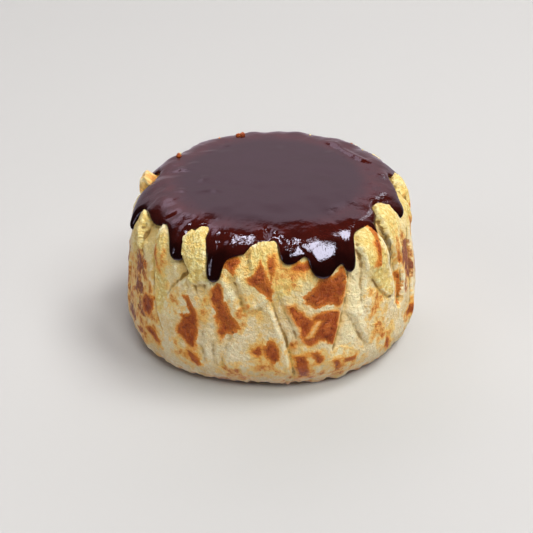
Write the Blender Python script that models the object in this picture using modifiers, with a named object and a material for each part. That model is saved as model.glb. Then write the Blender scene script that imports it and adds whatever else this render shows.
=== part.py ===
"""A paper-lined cheesecake, baked tall in a 15 cm tin, under a poured chocolate glaze.

Two solids: the cake, with the folds that the lining paper pressed into its side, and the glaze,
a shell that lies on the top and runs down the side in drips. Metres, +Z up, front towards -Y.
The origin is the middle of the base. Angles run round the cake from its front, positive towards +X.
"""

import math

import bmesh
import bpy
import numpy as np

MM = 0.001

# The turned form, without folds
BODY_RADIUS = 73.2 * MM  # the widest turn, low on the side
BODY_WIDEST = 15.0 * MM  # its height
FOOT_RUN = 10.5 * MM  # how far the rounded foot draws in
NECK_RADIUS = 68.2 * MM  # where the side turns into the shoulder
NECK_HEIGHT = 55.0 * MM
SHOULDER_RUN = 20.0 * MM  # how far the shoulder draws in, up to the flat top
CAKE_HEIGHT = 75.4 * MM  # at the edge of the flat top
TOP_CROWN = 1.2 * MM  # how much the middle of the top stands above that
BACK_RISE = 3.2 * MM  # the top leans: this much higher at the back, and lower at the front

# Where the plan is flatter than a circle: (angle, half width, how much) in deg, deg, mm
FLATS = [
    (0, 32, 2.6),
    (180, 40, 2.4),
    (-138, 22, 2.0),
]

# Where the shoulder is fuller or leaner than the turned form: (angle, half width, height) in deg, deg, mm
SHOULDER_SWELLS = [
    (172, 34, 1.6),
    (140, 16, 1.4),
    (-135, 22, -1.6),
    (-90, 24, -2.8),
    (96, 15, 1.0),
    (0, 26, -0.6),
]

# Folds pressed in by the paper. Each is a crease from its top to its bottom end, with the side on its
# left (as seen from outside) or right standing proud: (top angle, top height, bottom angle,
# bottom height, depth, lip, side), in deg, mm, deg, mm, mm, mm. Side is -1 for left, +1 for right.
FOLDS = [
    (-76.5, 60, -74.5, 22, 1.4, 0.9, -1),
    (-65.0, 68, -64.5, 46, 0.9, 0.7, +1),
    (-52.5, 67, -43.5, 24, 2.4, 1.5, +1),
    (-37.0, 76, -36.0, 60, 1.6, 1.6, +1),
    (-32.0, 58, -46.5, 38, 1.0, 0.6, +1),
    (-22.5, 36, -25.0, 10, 0.7, 0.3, -1),
    (-15.0, 60, -11.0, 38, 0.8, 0.5, +1),
    (-15.0, 34, -19.0, 10, 0.8, 0.4, +1),
    (-1.0, 60, 8.3, 10, 2.0, 1.0, -1),
    (4.0, 51, 10.5, 30, 0.7, 0.4, +1),
    (31.0, 66, 22.6, 20, 1.6, 0.9, -1),
    (30.0, 39, 40.0, 14, 1.6, 0.7, +1),
    (37.5, 68, 37.0, 42, 1.0, 0.8, +1),
    (42.5, 54, 50.5, 39, 1.1, 0.9, +1),
    (52.6, 70, 55.2, 38, 3.4, 1.6, -1),
    (60.5, 48, 60.0, 26, 0.9, 0.7, -1),
    (76.0, 64, 72.5, 14, 1.5, 1.0, +1),
    (88.0, 64, 92.0, 14, 1.4, 1.0, -1),
    (104.0, 72, 100.0, 32, 1.5, 1.1, +1),
    (116.0, 66, 121.0, 18, 1.1, 0.8, -1),
    (131.0, 74, 127.0, 28, 1.7, 1.2, +1),
    (144.0, 64, 149.0, 12, 1.2, 0.7, -1),
    (160.0, 72, 156.0, 36, 1.5, 1.2, +1),
    (171.0, 62, 175.0, 14, 1.1, 0.8, -1),
    (-174.0, 73, -170.0, 34, 1.6, 1.2, +1),
    (-160.0, 64, -164.0, 12, 1.2, 0.8, -1),
    (-148.0, 72, -144.0, 30, 1.6, 1.1, +1),
    (-134.0, 66, -138.0, 16, 1.2, 0.9, -1),
    (-121.0, 74, -117.0, 38, 1.7, 1.2, +1),
    (-106.0, 64, -110.0, 14, 1.1, 0.8, -1),
    (-93.0, 70, -89.0, 28, 1.5, 1.0, +1),
    (-78.0, 66, -74.0, 18, 1.2, 0.8, -1),
    (-64.0, 64, -61.0, 22, 0.9, 0.6, +1),
]
FOLD_CREASE_WIDTH = 3.3 * MM
FOLD_LIP_WIDTH = 7.0 * MM
FOLD_END_FADE = 9.0 * MM

# Crests of the rim, where the folds of paper drew the cake up into thin leaves: (angle, half width,
# height above the turned form, where its middle is down the profile) in deg, deg, mm, mm
RIM_CRESTS = [
    (-73.0, 3.6, 2.4, 65),
    (-54.0, 4.5, 1.4, 70),
    (-33.5, 3.2, 3.6, 64),
    (-1.0, 4.0, 1.6, 69),
    (46.0, 5.0, 3.0, 68),
    (59.0, 4.6, 4.6, 62),
    (67.0, 4.0, 3.0, 66),
    (97.0, 5.0, 3.4, 65),
    (109.0, 3.2, 1.6, 66),
    (124.0, 3.4, 1.8, 67),
    (136.0, 2.6, 2.0, 63),
    (150.0, 2.6, 2.0, 63),
    (165.0, 3.6, 1.8, 66),
    (-167.0, 3.0, 2.2, 63),
    (-152.0, 3.6, 1.8, 67),
    (-131.0, 3.0, 2.0, 63),
    (-113.0, 3.4, 1.8, 67),
    (-101.0, 3.0, 4.4, 62),
]
CREST_ABOVE = 6.0 * MM  # how far a crest reaches up the profile from its middle
CREST_BELOW = 13.0 * MM  # and how far down it fades into the side

# The glaze
GLAZE_THICKNESS = 2.8 * MM
GLAZE_ROOT = 3.0 * MM  # how deep its blank reaches into the cake, before the cake is cut out of it
GLAZE_EDGE = 61.0 * MM  # the length of glaze from the middle of the top, between the drips
GLAZE_GAP = 0.3 * MM  # what touching solids keep between them
# Wide lobes of the edge: (angle, half width, length past GLAZE_EDGE) in deg, deg, mm
GLAZE_LOBES = [
    (-73, 5, 4.0),
    (-58, 5, 3.5),
    (-44, 3, 4.5),
    (-33.5, 3.0, -7.0),
    (-22, 4, 5.0),
    (-12, 4, 1.5),
    (0, 4.0, -5.0),
    (7.5, 4.4, 6.5),
    (21, 5.0, 9.0),
    (29, 4.5, 8.0),
    (56.5, 4.4, -9.0),
    (64, 3.5, -2.0),
    (74, 9, 7.0),
    (97, 5, -2.5),
    (106, 5, 3.0),
    (128, 9, 4.5),
    (149, 6, -2.0),
    (170, 9, 4.0),
    (-165, 7, 3.5),
    (-143, 9, 4.0),
    (-120, 8, 3.0),
    (-101, 4, -4.0),
    (-87, 7, 4.0),
]
# Drips: (angle, width, height of the tip above the base, thickness) in deg, mm, mm, mm
DRIPS = [
    (-72.5, 9.0, 62.0, 3.4),
    (-40.5, 8.6, 62.4, 3.8),
    (-22.3, 7.2, 57.0, 3.8),
    (20.5, 13.5, 58.8, 4.2),
    (32.3, 6.6, 59.0, 3.8),
    (74.5, 15.0, 66.5, 3.8),
    (103.0, 7.4, 57.5, 3.6),
    (122.0, 8.8, 63.5, 3.8),
    (133.0, 7.0, 55.0, 3.6),
    (160.0, 9.2, 61.0, 3.8),
    (176.0, 7.2, 53.5, 3.6),
    (-163.0, 8.4, 60.0, 3.6),
    (-146.0, 10.5, 56.5, 4.0),
    (-127.0, 7.2, 63.0, 3.6),
    (-114.0, 8.2, 54.5, 3.8),
    (-88.0, 7.6, 59.0, 3.6),
]
DRIP_TOP = 56.0 * MM  # how far from the middle of the top a drip's root is
DRIP_LEAST_TUBE = 4.0 * MM
DRIP_FLARE = 0.8  # how much wider the root is than the neck, as a share
DRIP_THINNING = 0.45  # how much thinner the root is, as a share

# Meshing
CAKE_STEPS = 128
GLAZE_STEPS = 108
SHOULDER_POINTS = 10
SIDE_POINTS = 11
FOOT_POINTS = 5
DRIP_SEGMENTS, DRIP_RINGS = 10, 10

# Colours, linear
CRUMB_COLOUR = (0.72, 0.56, 0.28, 1.0)
GLAZE_COLOUR = (0.030, 0.006, 0.004, 1.0)


# ---- the turned form -------------------------------------------------------------------------


def quarter_ellipse(centre, run, rise, start, end, count):
    """Points of an ellipse's quarter, from start to end degrees."""
    angles = np.radians(np.linspace(start, end, count))
    return [
        (centre[0] + run * math.cos(a), centre[1] + rise * math.sin(a)) for a in angles
    ]


def cake_outline(shoulder=SHOULDER_POINTS, side=SIDE_POINTS, foot=FOOT_POINTS):
    """(radius, height) down the cake's outside, from the middle of the top to the middle of the base."""
    flat = NECK_RADIUS - SHOULDER_RUN
    points = [
        (flat * f, CAKE_HEIGHT + TOP_CROWN * (1 - f * f)) for f in (0.0, 0.5, 0.8)
    ]
    rise = CAKE_HEIGHT - NECK_HEIGHT
    points += quarter_ellipse(
        (flat, NECK_HEIGHT), SHOULDER_RUN, rise, 90, 0, shoulder
    )
    for f in np.linspace(0, 1, side)[1:-1]:
        bow = math.sin(f * math.pi / 2)  # bellies out towards the widest turn
        points.append(
            (
                NECK_RADIUS + (BODY_RADIUS - NECK_RADIUS) * bow,
                NECK_HEIGHT + (BODY_WIDEST - NECK_HEIGHT) * f,
            )
        )
    middle = (BODY_RADIUS - FOOT_RUN, BODY_WIDEST)
    points += quarter_ellipse(middle, FOOT_RUN, BODY_WIDEST, 0, -90, foot)
    return points + [(0.0, 0.0)]


class Outline:
    """The turned form by length down its outside: where a point of it is, and which way it faces."""

    def __init__(self):
        points = np.array(cake_outline(40, 40, 24))
        steps = np.diff(points, axis=0)
        self.length = np.concatenate([[0], np.cumsum(np.hypot(*steps.T))])
        self.radius, self.height = points.T
        tangent = np.gradient(points, self.length, axis=0)
        self.out, self.up = -tangent[:, 1], tangent[:, 0]

    def at(self, length):
        """(radius, height, outward part and upward part of the normal) at this length."""
        columns = (self.radius, self.height, self.out, self.up)
        return [np.interp(length, self.length, c) for c in columns]

    def length_at_height(self, height):
        """The length at which the side, shoulder included, passes this height."""
        above = self.height > 0.5 * BODY_WIDEST
        return np.interp(-height, -self.height[above], self.length[above])


OUTLINE = Outline()


# ---- the relief ------------------------------------------------------------------------------


def turn_between(angle, other):
    """The signed turn from other to angle, in degrees, within half a turn either way."""
    return (angle - other + 180.0) % 360.0 - 180.0


def bell(x):
    return np.exp(-x * x)


def fold_relief(angle, height, fold):
    """How far one fold moves the side out, at arrays of angles and heights."""
    top_angle, top, bottom_angle, bottom, depth, lip, side = fold
    top, bottom, depth, lip = top * MM, bottom * MM, depth * MM, lip * MM
    down = (top - height) / (top - bottom)
    line = top_angle + turn_between(bottom_angle, top_angle) * down
    across = np.radians(turn_between(angle, line)) * BODY_RADIUS * side
    past_end = np.maximum(np.maximum(height - top, bottom - height), 0.0)
    along = bell(past_end / FOLD_END_FADE)
    crease = -depth * bell(across / FOLD_CREASE_WIDTH)
    proud = np.where(across > 0, across, 0.0) / FOLD_LIP_WIDTH
    return along * (crease + lip * 2.2 * proud * np.exp(1 - 2.2 * proud))


def crest_relief(angle, length, crest):
    """How far one crest of the rim stands out of the turned form."""
    middle, half_width, height, place = crest
    across = turn_between(angle, middle) / half_width
    below = length - place * MM
    down = below / np.where(below > 0, CREST_BELOW, CREST_ABOVE)
    return height * MM * bell(across) * bell(down)


def swell_relief(angle, length, swell):
    """A fuller or leaner stretch of the shoulder."""
    middle, half_width, height = swell
    shoulder_middle = NECK_RADIUS - SHOULDER_RUN + 17 * MM
    across = turn_between(angle, middle) / half_width
    down = (length - shoulder_middle) / (13 * MM)
    return height * MM * bell(across) * bell(down)


def body_relief(angle, length):
    """The slow unevenness of the whole cake, which the glaze follows as well."""
    total = sum(swell_relief(angle, length, swell) for swell in SHOULDER_SWELLS)
    turn = np.radians(angle)
    side = np.clip((length - 50 * MM) / (20 * MM), 0, 1)
    return total + side * MM * (0.5 * np.sin(2 * turn + 0.7) + 0.4 * np.sin(5 * turn))


def cake_relief(angle, length):
    """How far the cake's surface stands out of the turned form, at arrays of angles and lengths."""
    height = OUTLINE.at(length)[1]
    total = body_relief(angle, length)
    total = total + sum(fold_relief(angle, height, fold) for fold in FOLDS)
    total = total + sum(crest_relief(angle, length, crest) for crest in RIM_CRESTS)
    foot = np.clip((height - 2 * MM) / (10 * MM), 0, 1)  # the base stays flat
    return total * foot


def place(angle, length, offset):
    """The points at these angles and lengths, this far out of the turned form, as rows of x, y, z."""
    radius, height, out, up = OUTLINE.at(length)
    radius = np.maximum(radius + out * offset, 0.0)
    height = height + up * offset
    flat = sum(bell(turn_between(angle, middle) / width) * much for middle, width, much in FLATS)
    radius = radius * (1 - flat * MM / BODY_RADIUS)
    turn = np.radians(angle)
    x, y = radius * np.sin(turn), -radius * np.cos(turn)
    lean = np.clip(height / CAKE_HEIGHT, 0, 1) ** 2 * BACK_RISE * y / BODY_RADIUS
    return np.stack([x, y, height + lean], axis=-1)


# ---- Blender helpers -------------------------------------------------------------------------


def clear_scene():
    for old in list(bpy.data.objects):
        bpy.data.objects.remove(old, do_unlink=True)


def collection_named(name):
    made = bpy.data.collections.new(name)
    bpy.context.scene.collection.children.link(made)
    return made


def coords(mesh):
    rows = np.empty(len(mesh.vertices) * 3)
    mesh.vertices.foreach_get("co", rows)
    return rows.reshape(-1, 3)


def turned(name, outline, steps, collection):
    """A mesh object made by turning (radius, height) points about Z."""
    mesh = bpy.data.meshes.new(name)
    mesh.from_pydata(
        [(radius, 0, height) for radius, height in outline],
        [(i, i + 1) for i in range(len(outline) - 1)],
        [],
    )
    obj = bpy.data.objects.new(name, mesh)
    collection.objects.link(obj)
    screw = obj.modifiers.new("Turn", "SCREW")
    screw.steps = screw.render_steps = steps
    screw.use_merge_vertices = True
    screw.merge_threshold = 0.00002
    apply_modifiers(obj)
    return obj


def apply_modifiers(obj):
    graph = bpy.context.evaluated_depsgraph_get()
    applied = bpy.data.meshes.new_from_object(obj.evaluated_get(graph))
    obj.modifiers.clear()
    obj.data = applied


def move_vertices(obj, points):
    obj.data.vertices.foreach_set("co", np.asarray(points, np.float32).ravel())
    obj.data.update()


def split_faces(obj):
    """Splits each face by one fixed rule, so that the grown form's facets run beside the cake's."""
    bm = bmesh.new()
    bm.from_mesh(obj.data)
    bmesh.ops.triangulate(bm, faces=bm.faces, quad_method="FIXED")
    bm.to_mesh(obj.data)
    bm.free()


def boolean(obj, operation, other, solver="EXACT"):
    """Applies one Boolean with an object or a collection, and removes what it used."""
    modifier = obj.modifiers.new(operation.title(), "BOOLEAN")
    modifier.operation = operation
    modifier.solver = solver
    if isinstance(other, bpy.types.Collection):
        modifier.operand_type = "COLLECTION"
        modifier.collection = other
        used = list(other.objects)
    else:
        modifier.object = other
        used = [other]
    apply_modifiers(obj)
    for tool in used:
        bpy.data.objects.remove(tool, do_unlink=True)


def keep_largest_body(obj):
    """Drops the loose scraps that a cut can leave."""
    bm = bmesh.new()
    bm.from_mesh(obj.data)
    unseen, bodies = set(bm.verts), []
    while unseen:
        found, edge = set(), [unseen.pop()]
        while edge:
            vert = edge.pop()
            found.add(vert)
            linked = {e.other_vert(vert) for e in vert.link_edges} & unseen
            unseen -= linked
            edge.extend(linked)
        bodies.append(found)
    bodies.sort(key=len)
    for scrap in bodies[:-1]:
        bmesh.ops.delete(bm, geom=list(scrap), context="VERTS")
    bm.to_mesh(obj.data)
    bm.free()


def material(name, colour, roughness):
    made = bpy.data.materials.new(name)
    made.use_nodes = True
    shader = made.node_tree.nodes["Principled BSDF"]
    shader.inputs["Base Color"].default_value = colour
    shader.inputs["Roughness"].default_value = roughness
    shader.inputs["Metallic"].default_value = 0.0
    return made


def finish(obj, made_of):
    obj.data.materials.clear()
    obj.data.materials.append(made_of)
    obj.data.shade_smooth()
    obj.data.set_sharp_from_angle(angle=math.radians(50))


# ---- the cake --------------------------------------------------------------------------------


def cake_form(name, grown, collection):
    """The cake's solid, with its whole surface pushed out by grown."""
    obj = turned(name, cake_outline(), CAKE_STEPS, collection)
    at_rest = coords(obj.data)
    radius = np.hypot(at_rest[:, 0], at_rest[:, 1])
    angle = np.degrees(np.arctan2(at_rest[:, 0], -at_rest[:, 1]))
    lengths = np.column_stack([OUTLINE.radius, OUTLINE.height])
    near = ((radius[:, None] - lengths[:, 0]) ** 2 + (at_rest[:, 2, None] - lengths[:, 1]) ** 2)
    length = OUTLINE.length[near.argmin(axis=1)]
    move_vertices(obj, place(angle, length, cake_relief(angle, length) + grown))
    split_faces(obj)
    return obj


# ---- the glaze -------------------------------------------------------------------------------


def glaze_edge(angle):
    """How far the glaze reaches from the middle of the top, without its drips."""
    reach = np.full(np.shape(angle), GLAZE_EDGE)
    for middle, half_width, more in GLAZE_LOBES:
        reach += more * MM * bell(turn_between(angle, middle) / half_width)
    return reach


def glaze_blank(collection):
    """A turned lens with a round edge, its rim pulled out to the glaze's edge all round."""
    top, root = GLAZE_THICKNESS, -GLAZE_ROOT
    # (share of the way to the edge, height out of the turned form), over the top and back underneath
    section = [(0, top), (0.3, top), (0.55, top), (0.75, top), (0.86, top), (0.94, 0.97 * top)]
    section += [(0.98, 0.8 * top), (1.0, 0.45 * top), (1.0, root), (0.6, 2 * root), (0, 2 * root)]
    blank = turned("glaze", [(f, h) for f, h in section], GLAZE_STEPS, collection)
    at_rest = coords(blank.data)
    share = np.hypot(at_rest[:, 0], at_rest[:, 1])
    angle = np.degrees(np.arctan2(at_rest[:, 0], -at_rest[:, 1]))
    length = share * glaze_edge(angle)
    move_vertices(blank, place(angle, length, at_rest[:, 2] + body_relief(angle, length)))
    return blank


def drip_form(index, drip, collection):
    """A drip bent over the shoulder and down the side: flared at its root, and round at its tip."""
    angle, width, tip, thickness = drip
    half_width, thickness = width * MM / 2, thickness * MM
    bpy.ops.mesh.primitive_uv_sphere_add(
        segments=DRIP_SEGMENTS, ring_count=DRIP_RINGS, radius=1
    )
    obj = bpy.context.object
    obj.name = f"drip_{index}"
    for holder in list(obj.users_collection):
        holder.objects.unlink(obj)
    collection.objects.link(obj)
    across, out, down = coords(obj.data).T
    # The sphere's poles lie along the drip. Its lower half is the tip, and its upper half is drawn
    # out into a tube that reaches up to the root.
    way = np.arccos(np.clip(down, -1, 1)) / math.pi * 2  # 0 at the root, 1 at the neck, 2 at the tip
    upper = (way < 0.99) & (way > 0.01)
    ring = np.where(upper, np.hypot(across, out), 1.0)
    across, out = across / ring, out / ring
    neck = OUTLINE.length_at_height(tip * MM) - half_width
    root = min(DRIP_TOP, neck - DRIP_LEAST_TUBE)
    length = np.where(way < 0.99, root + (neck - root) * way, neck - down * half_width)
    flare = 1 + DRIP_FLARE * np.clip(1 - way, 0, 1) ** 2
    body = body_relief(np.full_like(length, angle), length)
    turn = angle - np.degrees(across * flare * half_width / OUTLINE.at(length)[0])
    thick = thickness * (1 - DRIP_THINNING * np.clip(1 - way, 0, 1))
    move_vertices(obj, place(turn, length, out * thick + body))
    return obj


def glaze_form(collection, tools):
    blank = glaze_blank(collection)
    for index, drip in enumerate(DRIPS):
        drip_form(index, drip, tools)
    boolean(blank, "UNION", tools)
    cutter = cake_form("cake_cutter", GLAZE_GAP, tools)
    boolean(blank, "DIFFERENCE", cutter, "MANIFOLD")  # the exact solver loses this long thin cut
    keep_largest_body(blank)
    return blank


def main():
    clear_scene()
    model = collection_named("glazed_cheesecake")
    tools = collection_named("tools")
    cake = cake_form("cake", 0.0, model)
    glaze = glaze_form(model, tools)
    finish(cake, material("crumb", CRUMB_COLOUR, 0.6))
    finish(glaze, material("chocolate_glaze", GLAZE_COLOUR, 0.2))
    bpy.data.collections.remove(tools)


main()
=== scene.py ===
"""The glazed cheesecake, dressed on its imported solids.

The crumb gets the leaves, pleats and creases that the lining paper pressed into it, and its browned
patches. The poured glaze gets its rounded edge, its drips and its gloss. Metres, +Z up, front towards
-Y. Angles run round the cake from its front, positive towards +X, in degrees. Lengths run down the
outside of the turned form from the middle of its top.
"""

import math

import bpy
import numpy as np
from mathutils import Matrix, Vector
from mathutils.geometry import delaunay_2d_cdt
from mathutils.kdtree import KDTree


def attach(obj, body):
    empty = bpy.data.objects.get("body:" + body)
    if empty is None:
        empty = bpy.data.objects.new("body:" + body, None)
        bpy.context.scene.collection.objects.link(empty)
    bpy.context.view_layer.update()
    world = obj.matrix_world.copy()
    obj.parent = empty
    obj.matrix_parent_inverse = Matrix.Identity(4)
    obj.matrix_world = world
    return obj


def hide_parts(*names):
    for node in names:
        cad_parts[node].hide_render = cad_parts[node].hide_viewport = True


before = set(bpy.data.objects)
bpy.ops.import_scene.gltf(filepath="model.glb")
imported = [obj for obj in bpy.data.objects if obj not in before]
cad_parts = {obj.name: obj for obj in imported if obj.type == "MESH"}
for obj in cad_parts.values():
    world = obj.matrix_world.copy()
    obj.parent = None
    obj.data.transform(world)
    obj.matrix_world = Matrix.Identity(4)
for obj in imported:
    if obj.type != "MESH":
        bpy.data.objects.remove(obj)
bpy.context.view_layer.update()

MM = 0.001

# The turned form, as in the part
BODY_RADIUS = 73.2 * MM
BODY_WIDEST = 15.0 * MM
FOOT_RUN = 10.5 * MM
NECK_RADIUS = 68.2 * MM
NECK_HEIGHT = 55.0 * MM
SHOULDER_RUN = 20.0 * MM
CAKE_HEIGHT = 75.4 * MM
TOP_CROWN = 1.2 * MM
BACK_RISE = 3.2 * MM
# Where it is flatter: (angle, half width in degrees, how much in mm)
FLATS = [(0, 32, 2.6), (180, 40, 2.4), (-138, 22, 2.0)]
# The front of the foot is set in: around this angle, over this half width, this far, up to this height
FOOT_ANGLE, FOOT_HALF_WIDTH = 8, 34
FOOT_INSET, FOOT_INSET_FULL, FOOT_INSET_FADE = 3.6 * MM, 2 * MM, 16 * MM
FOOT_FIXED_RADIUS = 40 * MM  # nearer the middle than this the base moves less
# Swells of the shoulder: how far past the flat top they are highest, over which half width down the side
SWELL_MIDDLE, SWELL_HALF_WIDTH = 17 * MM, 13 * MM
# (angle, half width in degrees, height in mm)
SHOULDER_SWELLS = [
    (172, 34, 1.6),
    (140, 16, 1.4),
    (-135, 22, -1.6),
    (-90, 24, -2.8),
    (96, 15, 1.0),
    (0, 26, -0.6),
    # and the rim's own unevenness
    (119, 15, 3.0),
    (-143, 9, 2.2),
    (-101, 7, 1.2),
]

# Pleats: a line of (angle, length) points, hollow on one side and proud on the other, with a wall
# between. (line, depth, lip, proud side, wall, hollow, roll, fade at each end) in mm; side +1 is right
# of a line that runs down.
PLEATS = [
    # the left gap, and the fine creases beside it
    ([(-55.2, 61), (-53.2, 70), (-51.6, 80), (-50.4, 88), (-48.4, 98), (-46, 106), (-43, 114)], 3, 0.9, +1,
      0.3, 1.5, 6, (0, 14)),
    ([(-32.2, 75.5), (-34.8, 78.6), (-38, 82.6), (-41, 88), (-43.8, 96)], 1.2, 1.2, +1, 0.8, 2.6, 4, (1, 9)),
    ([(-32.6, 81.6), (-29, 80.2), (-26, 79.4), (-22.8, 80.4)], 1.4, 0.9, +1, 1.1, 4, 3, (3, 5)),
    ([(-65.6, 62), (-65, 70), (-64.6, 79)], 0.8, 0.7, -1, 0.6, 4, 4, (0, 7)),
    ([(-77.4, 80), (-76.8, 92), (-76, 104), (-74.8, 120)], 0.8, 0.8, -1, 0.6, 5, 5, (6, 8)),
    # the crease down the middle, and the channel beside it
    ([(-0.6, 82), (0.2, 86), (1.6, 92), (3.6, 99), (5.3, 105), (6.6, 112), (7.9, 121), (9.2, 129)], 1.5, 1,
      -1, 0.8, 2.6, 4.4, (5, 7)),
    ([(2.6, 78), (4.6, 85), (7.2, 93), (9.7, 101), (11.5, 108)], 1.1, 1.2, +1, 1, 2.6, 3.8, (5, 6)),
    ([(-18.8, 71.6), (-16.5, 77.8), (-13.5, 83.9), (-11.3, 89.1), (-8.9, 93.9)], 1.1, 1, -1, 1.2, 2.8, 4,
      (4, 5)),
    ([(-14.3, 73.8), (-12.3, 79.1), (-10.2, 86.6), (-8.7, 92.8)], 0.8, 0.9, +1, 1.2, 2.6, 4, (5, 4)),
    ([(-0.2, 83.8), (-4.9, 88), (-9.2, 93.6)], 0.7, 1.1, -1, 1.3, 2.8, 4, (2, 6)),
    ([(-21.3, 104.6), (-20.7, 114.2), (-20.3, 122.5)], 1.1, 1.1, +1, 1.2, 2.8, 3.2, (6, 4)),
    ([(4.2, 79.6), (7.4, 78.4), (10.2, 76.9)], 0.4, 0.4, -1, 0.5, 2, 2.4, (2, 3)),
    ([(-24.6, 98), (-25.6, 110), (-24, 124)], 1.2, 1.2, +1, 1.2, 3.6, 4, (8, 6)),
    ([(-12.6, 101.8), (-15.7, 110), (-17.1, 115.9), (-17.5, 123.5)], 1.1, 1.1, +1, 1.2, 3, 3.6, (5, 4)),
    # the pale valley right of the middle, and what bounds it
    ([(30.8, 66), (30.6, 76), (29.4, 85), (27.4, 93), (25.4, 102), (23.2, 111), (21.6, 118)], 2.1, 1, -1, 1,
      6, 4, (0, 10)),
    ([(38.8, 64), (38.4, 74), (38, 82), (37, 92), (36.4, 99)], 1, 1.2, +1, 0.9, 2.6, 4, (2, 8)),
    ([(30, 92), (32, 98), (34.4, 105), (37.2, 113), (39.6, 120)], 1.2, 1.3, +1, 1.2, 2.8, 4, (6, 14)),
    # the long flake: its curled right edge, the lower edge of its panel, and the right gap
    ([(49.4, 58), (50, 61), (49.8, 64), (48.8, 67.4), (48, 71), (47.2, 75), (46, 79)], 0.4, 1.3, -1, 0.45, 2,
      4.5, (0, 3)),
    ([(41.4, 79), (43.4, 83.4), (45.4, 87.6), (47.8, 92.2), (50.4, 95.2), (53.4, 96.4)], 0.7, 0.9, +1, 0.35,
      2, 5, (5, 2)),
    ([(51.8, 57), (52.6, 64), (53.6, 72), (54.1, 80), (54.6, 88), (54.8, 95), (54.6, 102)], 3.4, 1, -1, 0.32,
      1.5, 5, (0, 3)),
    ([(62.4, 86), (62.2, 96), (60.4, 107)], 1.3, 0.8, +1, 0.45, 2, 3.5, (4, 4)),
    ([(76.6, 72), (75.8, 86), (74.2, 100), (72.6, 113), (71.4, 124)], 1.3, 1, +1, 0.5, 4, 5, (5, 6)),
]

# Folds of the back, as in the part: top angle, top height, bottom angle, bottom height, depth, lip, side
BACK_FOLDS = [
    (88.0, 64, 92.0, 14, 1.4, 1.0, -1),
    (104.0, 72, 100.0, 32, 1.5, 1.1, +1),
    (116.0, 66, 121.0, 18, 1.1, 0.8, -1),
    (131.0, 74, 127.0, 28, 1.7, 1.2, +1),
    (144.0, 64, 149.0, 12, 1.2, 0.7, -1),
    (160.0, 72, 156.0, 36, 1.5, 1.2, +1),
    (171.0, 62, 175.0, 14, 1.1, 0.8, -1),
    (-174.0, 73, -170.0, 34, 1.6, 1.2, +1),
    (-160.0, 64, -164.0, 12, 1.2, 0.8, -1),
    (-148.0, 72, -144.0, 30, 1.6, 1.1, +1),
    (-134.0, 66, -138.0, 16, 1.2, 0.9, -1),
    (-121.0, 74, -117.0, 38, 1.7, 1.2, +1),
    (-106.0, 64, -110.0, 14, 1.1, 0.8, -1),
    (-93.0, 70, -89.0, 28, 1.5, 1.0, +1),
]

# Hollows: an outline of (angle, length) points, its depth and how wide its border is, in mm
HOLLOWS = [
    ([(-39.8, 71.5), (-36.4, 69.5), (-33.6, 72.4), (-32.2, 75.6), (-34.4, 78.4), (-37.4, 81.2), (-38.9, 77)],
      1.1, 1.6),
    ([(-65.5, 61), (-57, 61), (-54, 64.5), (-52.2, 71), (-51, 79), (-53.5, 82), (-58, 78), (-62, 74),
      (-65.4, 70)], 1.2, 2.4),
    ([(56, 72), (58.4, 80), (59.8, 92), (60.8, 104), (58, 107), (56.2, 103), (55.8, 90)], 1.7, 1),
    ([(-15.6, 76.2), (-12.6, 75.6), (-11.6, 77), (-13.4, 78.2)], 0.5, 0.6),
    ([(-15.2, 73.2), (-13.8, 72.8), (-13.4, 74.8), (-14.8, 75.2)], 0.5, 0.6),
    ([(13, 103.4), (14.8, 99.4), (17, 95.6), (18.2, 96), (16.4, 100.4), (14.6, 104)], -0.5, 0.8),
]

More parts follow.
